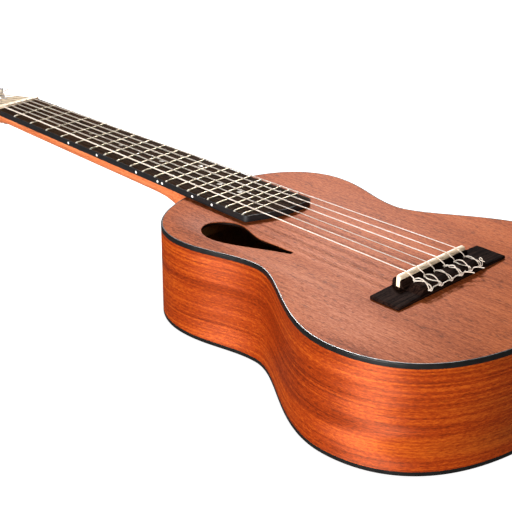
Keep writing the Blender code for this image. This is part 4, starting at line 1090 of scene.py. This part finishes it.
# Each tie as it was made by hand: out of the hole at the back and over the block (under), round the string in front (loop), back over (over)
# and off along the rear edge (away). Places are along the string, to the treble side of it, and up.
TIES = {
    6: ([(454.0, 0.45, 4.4), (453.95, 0.95, 5.4), (453.1, 1.15, 6.4), (451.2, 0.95, 7.1), (449.4, 0.85, 7.75), (447.6, 0.2, 7.75), (446.0, -0.1, 7.4), (444.4, -0.35, 6.9)],
        [(442.9, -0.75, 6.5), (441.9, -0.75, 6.35), (441.35, -0.1, 6.5), (441.5, 0.9, 6.8), (442.3, 1.75, 7.15), (443.3, 1.9, 7.6)],
        [(444.5, 1.5, 8.0), (446.0, 0.95, 8.35), (447.6, 0.75, 8.45), (449.2, 0.35, 8.1), (450.8, 0.15, 7.35), (452.1, -0.2, 6.6)],
        [(453.2, -0.6, 5.5), (453.8, -0.55, 4.5), (454.3, 0.1, 3.85), (454.6, 0.9, 3.9), (454.5, 1.5, 4.6)], 1.2, 0.0),
    5: ([(454.0, 0.35, 4.3), (453.9, 0.55, 5.4), (452.8, 0.15, 6.3), (451.2, -0.75, 6.35), (449.6, -1.55, 6.35), (447.9, -2.2, 6.45), (446.3, -2.35, 6.4), (444.7, -1.8, 6.3)],
        [(443.2, -1.0, 6.3), (442.1, -0.7, 6.1), (441.4, -0.1, 5.9), (441.6, 0.7, 6.2), (442.3, 0.95, 6.7)],
        [(443.2, 0.75, 7.2), (444.6, 0.4, 7.85), (446.0, 0.3, 8.25), (447.5, 0.3, 8.35), (449.0, 0.25, 8.1), (450.3, 0.2, 7.6), (451.4, 0.1, 6.9), (452.3, 0.0, 6.2)],
        [(453.3, -0.3, 5.3), (453.9, -0.35, 4.4), (454.4, 0.2, 3.85), (454.7, 0.95, 4.0), (454.6, 1.6, 4.7)], 1.9, 0.55),
    4: ([(454.0, 0.4, 4.3), (453.9, 0.8, 5.4), (452.7, 0.95, 6.4), (451.0, 1.1, 6.6), (449.0, 1.25, 6.7), (447.0, 1.25, 6.65), (445.2, 1.05, 6.55)],
        [(443.6, 0.95, 6.5), (442.4, 0.85, 6.3), (441.4, 0.4, 5.9), (441.4, -0.35, 5.9), (442.1, -0.75, 6.4)],
        [(443.2, -0.35, 6.9), (444.4, 0.15, 7.4), (445.7, 0.3, 7.8), (447.2, 0.3, 7.95), (448.7, 0.3, 7.75), (450.1, 0.2, 7.15), (451.4, 0.1, 6.4)],
        [(452.5, 0.0, 5.8), (453.5, -0.25, 5.0), (454.0, -0.2, 4.2), (454.5, 0.5, 3.8), (454.7, 1.2, 4.1), (454.5, 1.8, 4.8)], 1.5, 0.25),
    3: ([(454.0, 0.4, 4.3), (453.9, 0.9, 5.4), (452.5, 1.2, 6.4), (450.6, 1.5, 6.8), (448.8, 1.0, 7.1), (447.1, 0.1, 7.0), (445.6, 0.0, 6.7), (444.4, 0.7, 6.5)],
        [(443.4, 1.7, 6.5), (442.3, 1.9, 6.4), (441.5, 1.2, 6.2), (441.2, 0.1, 6.1), (441.5, -0.9, 6.3), (442.5, -1.35, 6.7), (443.6, -0.9, 7.1)],
        [(444.8, 0.2, 7.4), (446.1, 1.3, 7.75), (447.5, 1.5, 7.9), (449.0, 0.9, 7.7), (450.6, 0.4, 7.1), (451.9, 0.2, 6.5)],
        [(453.1, -0.1, 5.5), (453.8, -0.3, 4.6), (454.3, 0.2, 4.0), (454.6, 1.0, 4.1), (454.5, 1.8, 4.8)], 0.0, 0.0),
    2: ([(454.0, 0.3, 4.3), (453.9, 0.6, 5.4), (452.6, 0.5, 6.3), (451.0, 0.0, 6.35), (449.3, -0.7, 6.3), (447.6, -1.2, 6.35), (445.9, -1.3, 6.35), (444.4, -0.9, 6.3)],
        [(443.1, -0.75, 6.2), (442.1, -0.7, 6.0), (441.4, -0.2, 5.8), (441.4, 0.5, 5.9), (442.0, 0.9, 6.4)],
        [(443.0, 0.95, 7.0), (444.3, 0.8, 7.7), (445.8, 0.7, 8.1), (447.4, 0.6, 8.15), (449.0, 0.5, 7.8), (450.5, 0.35, 7.1), (451.8, 0.2, 6.4)],
        [(453.0, -0.1, 5.5), (453.7, -0.3, 4.6), (454.2, 0.1, 3.9), (454.6, 0.9, 4.0), (454.6, 1.6, 4.8)], 0.0, 0.0),
    1: ([(454.0, 0.3, 4.3), (453.9, 0.7, 5.4), (452.6, 0.9, 6.3), (450.8, 1.0, 6.5), (448.8, 0.9, 6.5), (446.8, 0.7, 6.4), (445.0, 0.7, 6.3)],
        [(443.4, 0.8, 6.3), (442.2, 0.7, 6.1), (441.4, 0.2, 5.9), (441.5, -0.5, 6.0), (442.2, -0.7, 6.5)],
        [(443.3, -0.2, 7.1), (444.6, 0.1, 7.5), (446.2, 0.1, 7.7), (447.8, 0.2, 7.6), (449.4, 0.1, 7.2), (451.0, 0.1, 6.7), (452.1, 0.0, 6.2)],
        [(453.1, -0.2, 5.4), (453.8, -0.2, 4.4), (454.4, 0.4, 3.9), (454.7, 1.1, 4.1), (454.5, 1.8, 4.9)], 0.0, 0.0),
}


def knot(k, ys):
    under, loop, over, hook, reach, low = TIES[k]
    keys = [Vector((452.4, ys, TIE_HOLE_Z)), Vector((453.5, ys + 0.1, TIE_HOLE_Z + 0.03))]
    keys += [Vector((x, ys + dy, z)) for x, dy, z in under + loop + over + hook]
    step = string_y(k - 1, SX1) - ys if k > 1 else 0.0
    if k >= 4:     # laid along the rear edge, through its neighbours
        y, end = ys + 3.0, ys + reach * step
        while y < end:
            near = min(1.0, abs(((y - ys) / step) % 1.0 - 0.0) * 4)
            keys.append(Vector((454.05 + 0.3 * low + 0.1 * math.sin(y * 1.3 + k), y, 5.15 + 0.35 * ((y - ys) / step) - 0.9 * low + 0.12 * math.sin(y * 1.9 + 2 * k) * near)))
            y += 1.9
    elif k == 3:   # a loose end that stands out behind
        keys += [Vector((454.3, ys + 3.2, 5.2)), Vector((455.0, ys + 4.4, 5.3)), Vector((456.2, ys + 5.6, 5.2)), Vector((457.5, ys + 6.8, 5.05)), Vector((458.6, ys + 7.7, 4.8))]
    elif k == 2:
        keys += [Vector((454.4, ys + 3.0, 5.3)), Vector((455.3, ys + 4.2, 5.5)), Vector((456.6, ys + 5.4, 5.5)), Vector((458.0, ys + 6.6, 5.3)), Vector((459.0, ys + 7.5, 5.1))]
    else:
        keys += [Vector((454.0, ys + 2.4, 5.6)), Vector((453.4, ys + 3.0, 6.4)), Vector((452.6, ys + 3.5, 7.3)), Vector((451.6, ys + 3.5, 7.6)), Vector((451.2, ys + 2.9, 7.1)),
                 Vector((452.0, ys + 2.5, 6.6)), Vector((453.3, ys + 2.9, 6.3)), Vector((454.8, ys + 3.7, 5.9))]
    return spline(keys, 0.28)


for k in range(1, 7):
    string(k)


# ---- tuners -------------------------------------------------------------------------------
PLATE_Z1, PLATE_Z0, WORM_Z, WORM_AHEAD, TEETH = -12.5, -14.0, -16.65, 7.0, 14
GEAR_TOP, GEAR_LOW = -14.3, -18.1


def rounded_box(x0, x1, y0, y1, r, n=6):
    pts = []
    for cx, cy, a0 in ((x1 - r, y1 - r, 0), (x0 + r, y1 - r, 90), (x0 + r, y0 + r, 180), (x1 - r, y0 + r, 270)):
        for i in range(n + 1):
            a = math.radians(a0 + 90 * i / n)
            pts.append((cx + r * math.cos(a), cy + r * math.sin(a)))
    return pts


def screw_head(x, y, z, r, name, m=HEAD, body="instrument", down=True):
    """Domed head with a cross recess, facing down from the plate."""
    sg = -1 if down else 1
    o = lathe([(0.0, z), (r, z), (r, z + sg * 0.25), (r * 0.86, z + sg * 0.62), (r * 0.55, z + sg * 0.86), (0.0, z + sg * 0.95)], 28, (x, y)).make(
        name, CHROME, m=m, body=body, smooth=40)
    cut = Shape()
    w, l = 0.22, r * 0.62
    q = [(l, w), (w, w), (w, l), (-w, l), (-w, w), (-l, w), (-l, -w), (-w, -w), (-w, -l), (w, -l), (w, -w), (l, -w)]
    c0 = cut.ring([(x + px, y + py, z + sg * 0.45) for px, py in q])
    c1 = cut.ring([(x + px, y + py, z + sg * 1.6) for px, py in q])
    cut.skin(c0, c1)
    cut.face(c0)
    cut.face(c1)
    carve(o, cut, m, 30)
    return o


def tuner_plate(side, sg):
    loops = [rounded_box(-128.0, -38.0, sg * POST_Y - 6.4, sg * POST_Y + 6.4, 2.6)] + [circle(-s, sg * POST_Y, POST_R + 0.4) for s in POST_S]
    s = slab([[(x, -y) for x, y in lp] for lp in loops], 14.0, 12.5, 0.3, 3)
    # the plate's outer face looks down, so it is built upside down and turned over
    s.v = [(x, -y, -z) for x, y, z in s.v]
    s.g = list(s.v)
    s.make("tuner_plate_%s_skin" % side, CHROME, m=HEAD, smooth=30, replaces=["tuner_plate_" + side])
    for i, sx in enumerate(POST_S):
        wx = -sx + WORM_AHEAD
        for j, off in enumerate((-5.3, 5.3)):
            yc = sg * POST_Y + off
            e = Shape()
            prof = [(wx - 2.9, -13.9), (wx - 2.9, WORM_Z)] + [(wx + 2.9 * math.cos(a), WORM_Z + 2.4 * math.sin(a)) for a in
                                                           [math.pi + math.pi * q / 14 for q in range(1, 14)]] + [(wx + 2.9, WORM_Z), (wx + 2.9, -13.9)]
            hole = [(wx + 1.45 * math.cos(a), WORM_Z + 1.45 * math.sin(a)) for a in [2 * math.pi * q / 20 for q in range(20)]]
            ear = slab([prof, hole], yc + 0.65, yc - 0.65, 0.18, 2)
            ear.v = [(x, z, y) for x, y, z in ear.v]
            ear.g = list(ear.v)
            ear.make("tuner_ear_%s_%d%s" % (side, i + 1, "ab"[j]), CHROME, m=HEAD, smooth=30)
    for i, (sx, off) in enumerate(((62.5, 4.2), (62.5, -4.2), (98.0, 4.2), (98.0, -4.2), (125.0, 0.0))):     # clear of the worms and gears
        screw_head(-sx, sg * (POST_Y + off), -14.0, 1.75, "plate_screw_%s_%d" % (side, i + 1))


for side, sg in (("bass", -1), ("treble", 1)):
    tuner_plate(side, sg)


def tuner_post(k):
    idx, sg = POST_OF[k]
    c = (-POST_S[idx], sg * POST_Y)
    body = "post_%d" % k
    top = FACE + POST_UP
    prof = [(0.0, top), (1.9, top), (2.5, top - 0.12), (2.85, top - 0.4), (3.0, top - 0.9), (3.0, FACE + 8.5), (2.9, FACE + 8.1), (2.45, FACE + 7.3), (2.22, FACE + 6.3),
            (2.2, FACE + 5.4), (2.22, FACE + 4.5), (2.45, FACE + 3.5), (2.9, FACE + 2.7), (3.0, FACE + 2.3), (3.0, GEAR_TOP), (0.0, GEAR_TOP)]
    o = lathe(prof, 48, c).make("post_%d_shaft" % k, CHROME, m=HEAD, body=body, smooth=40, replaces=["tuner_post_%d" % k])
    cut = Shape()
    zc = FACE + 6.2
    r = 0.75
    a = cut.ring([(c[0] + r * math.cos(t), c[1] - 5, zc + r * math.sin(t)) for t in [2 * math.pi * i / 20 for i in range(20)]])
    b = cut.ring([(c[0] + r * math.cos(t), c[1] + 5, zc + r * math.sin(t)) for t in [2 * math.pi * i / 20 for i in range(20)]])
    cut.skin(a, b)
    cut.face(a)
    cut.face(b)
    carve(o, cut, HEAD, 40)
    # gear with rounded teeth
    loop = []
    for i in range(TEETH):
        for f, r in ((0.0, 3.62), (0.12, 3.60), (0.24, 3.66), (0.36, 4.0), (0.46, 4.3), (0.58, 4.4), (0.70, 4.4), (0.82, 4.3), (0.92, 4.0)):
            t = 2 * math.pi * (i + f) / TEETH
            loop.append((c[0] + r * math.cos(t), c[1] + r * math.sin(t)))
    slab([loop], GEAR_TOP, GEAR_LOW, 0.25, 2, 0.25).make("post_%d_gear" % k, NICKEL, m=HEAD, body=body, smooth=35)
    screw_head(c[0], c[1], GEAR_LOW, 2.2, "post_%d_screw" % k, body=body)
    # winding on the waist of the post, its end through the hole
    r = 0.95 * STRING_DIA[k - 1] / 2
    rc = coil_radius(k)
    turns = 2
    pts = []
    for i in range(turns * 36 + 1):
        t = 2 * math.pi * i / 36
        pts.append((c[0] + rc * math.cos(sg * t), c[1] + rc * math.sin(sg * t), FACE + 3.5 + r + (2.04 * r) * i / 36))
    tube(pts, r, 10).make("post_%d_winding" % k, WOUND if k >= 4 else NYLON, m=HEAD, body=body, smooth=60)
    tube(spline([(c[0], c[1] + sg * 1.0, zc), (c[0], c[1] + sg * 3.4, zc), (c[0] + 0.7, c[1] + sg * 5.4, zc + 0.5), (c[0] + 1.8, c[1] + sg * 6.8, zc + 1.4)], 0.4), r * 0.95, 10).make(
        "post_%d_string_end" % k, WOUND if k >= 4 else NYLON, m=HEAD, body=body, smooth=60)


def tuner_knob(k):
    idx, sg = POST_OF[k]
    cx, cy = -POST_S[idx] + WORM_AHEAD, sg * POST_Y
    body = "knob_%d" % k
    s = Shape()
    n, pitch = 32, 1.84
    rows = [(-6.9, 1.0), (-6.75, 1.3), (-4.7, 1.3)]
    rows += [(-4.5 + 9.0 * i / 90, None) for i in range(91)]
    rows += [(4.7, 1.3), (12.4, 1.3), (12.5, 2.0), (12.8, 2.3), (13.6, 2.3), (13.9, 2.1)]
    rings = []
    for y, r in rows:
        ring = []
        for j in range(n):
            a = 2 * math.pi * j / n
            if r is None:
                ph = (y / pitch - sg * j / n) % 1.0
                t = smoothstep((0.5 - abs(ph - 0.5)) * 4 - 0.5)
                fade = smoothstep((4.5 - abs(y)) / 0.5)
                rr = 1.55 + 0.75 * t * fade
            else:
                rr = r
            ring.append((cx + rr * math.cos(a), cy + sg * y, WORM_Z + rr * math.sin(a)))
        rings.append(s.ring(ring))
    for a, b in zip(rings, rings[1:]):
        s.skin(a, b)
    s.face(rings[0])
    s.face(rings[-1])
    s.make("knob_%d_worm" % k, CHROME, m=HEAD, body=body, smooth=40, replaces=["tuner_knob_%d" % k])
    b = Shape()
    table = ((13.7, 1.7, 1.7), (14.0, 2.3, 2.1), (14.8, 2.7, 2.35), (15.8, 3.5, 2.6), (17.0, 4.8, 2.85), (18.4, 5.95, 3.08), (20.0, 6.65, 3.22), (21.8, 6.95, 3.28), (23.4, 6.95, 3.26),
             (24.8, 6.5, 3.05), (25.9, 5.6, 2.62), (26.6, 4.3, 2.0), (26.9, 2.9, 1.3), (27.0, 1.4, 0.65))
    rings = []
    ys = [13.7 + (27.0 - 13.7) * i / 44 for i in range(45)]
    for y in ys:
        rx = curve_through(tuple((t[0], t[1]) for t in table), y)
        rz = curve_through(tuple((t[0], t[2]) for t in table), y)
        ring = []
        for j in range(36):
            a = 2 * math.pi * j / 36
            ca, sa = math.cos(a), math.sin(a)
            ring.append((cx + rx * math.copysign(abs(ca) ** 0.85, ca), cy + sg * y, WORM_Z + rz * math.copysign(abs(sa) ** 0.85, sa)))
        rings.append(b.ring(ring))
    for p, q in zip(rings, rings[1:]):
        b.skin(p, q)
    b.face(rings[0])
    b.face(rings[-1])
    b.make("knob_%d_button" % k, PEARL, m=HEAD, body=body, smooth=50)


for k in range(1, 7):
    tuner_post(k)
    tuner_knob(k)
    idx, sg = POST_OF[k]
    c = (-POST_S[idx], sg * POST_Y)
    lathe([(3.12, FACE - 1.2), (4.25, FACE - 1.2), (4.25, FACE), (4.95, FACE + 0.02), (5.0, FACE + 0.35), (4.8, FACE + 0.75), (4.2, FACE + 0.98), (3.5, FACE + 1.0),
           (3.15, FACE + 0.85), (3.12, FACE - 1.2)], 40, c).make("bushing_%d" % k, CHROME, m=HEAD, smooth=40, merge=0.001)

# ---- inner pieces keep their shape and get raw timber --------------------------------------
for name, obj in NODES.items():
    if obj.data.materials:
        for i in range(len(obj.data.materials)):
            obj.data.materials[i] = INNER_WOOD
    else:
        obj.data.materials.append(INNER_WOOD)


# ---- floor and light --------------------------------------------------------------------------
def stage_floor():
    bm = bmesh.new()
    bmesh.ops.create_grid(bm, x_segments=8, y_segments=8, size=6.0)
    me = bpy.data.meshes.new("floor")
    bm.to_mesh(me)
    bm.free()
    o = bpy.data.objects.new("floor", me)
    o.location.z = -0.0004
    scene.collection.objects.link(o)
    m = Mat("floor_white", 0.9, spec=0.1)
    f = m.noise(m.coords(), 2.0, 2)
    m.color(m.ramp(f, [(0.3, (0.40, 0.40, 0.40)), (0.7, (0.42, 0.42, 0.42))]))
    m.b.inputs["Emission Color"].default_value = (1, 1, 1, 1)
    m.b.inputs["Emission Strength"].default_value = 0.92
    me.materials.append(m.m)
    o.visible_glossy = False
    o.visible_diffuse = False


stage_floor()


def area(name, loc, target, size, power, color=(1, 1, 1), size_y=None):
    d = bpy.data.lights.new(name, "AREA")
    d.shape = "RECTANGLE"
    d.size = size
    d.size_y = size_y or size
    d.energy = power
    d.color = color
    o = bpy.data.objects.new(name, d)
    o.location = loc
    o.rotation_euler = (Vector(target) - Vector(loc)).to_track_quat("-Z", "Y").to_euler()
    scene.collection.objects.link(o)
    return o


area("key", (-1.00, 1.18, 1.14), (0.1, 0, 0.05), 0.30, 66)
area("side_light", (0.62, -2.05, 0.15), (0.14, -0.05, 0.04), 1.5, 95, size_y=0.26)
area("tail_fill", (1.5, 0.2, 1.3), (0.15, 0, 0.05), 1.2, 3)
area("back_glow", (-0.9, 1.2, 0.42), (0.14, 0.06, 0.05), 1.8, 4, size_y=0.5)
world = bpy.data.worlds.new("studio")
scene.world = world
world.use_nodes = True
world.node_tree.nodes["Background"].inputs["Color"].default_value = (1, 1, 1, 1)
world.node_tree.nodes["Background"].inputs["Strength"].default_value = 0.11
scene.view_settings.view_transform = "Standard"
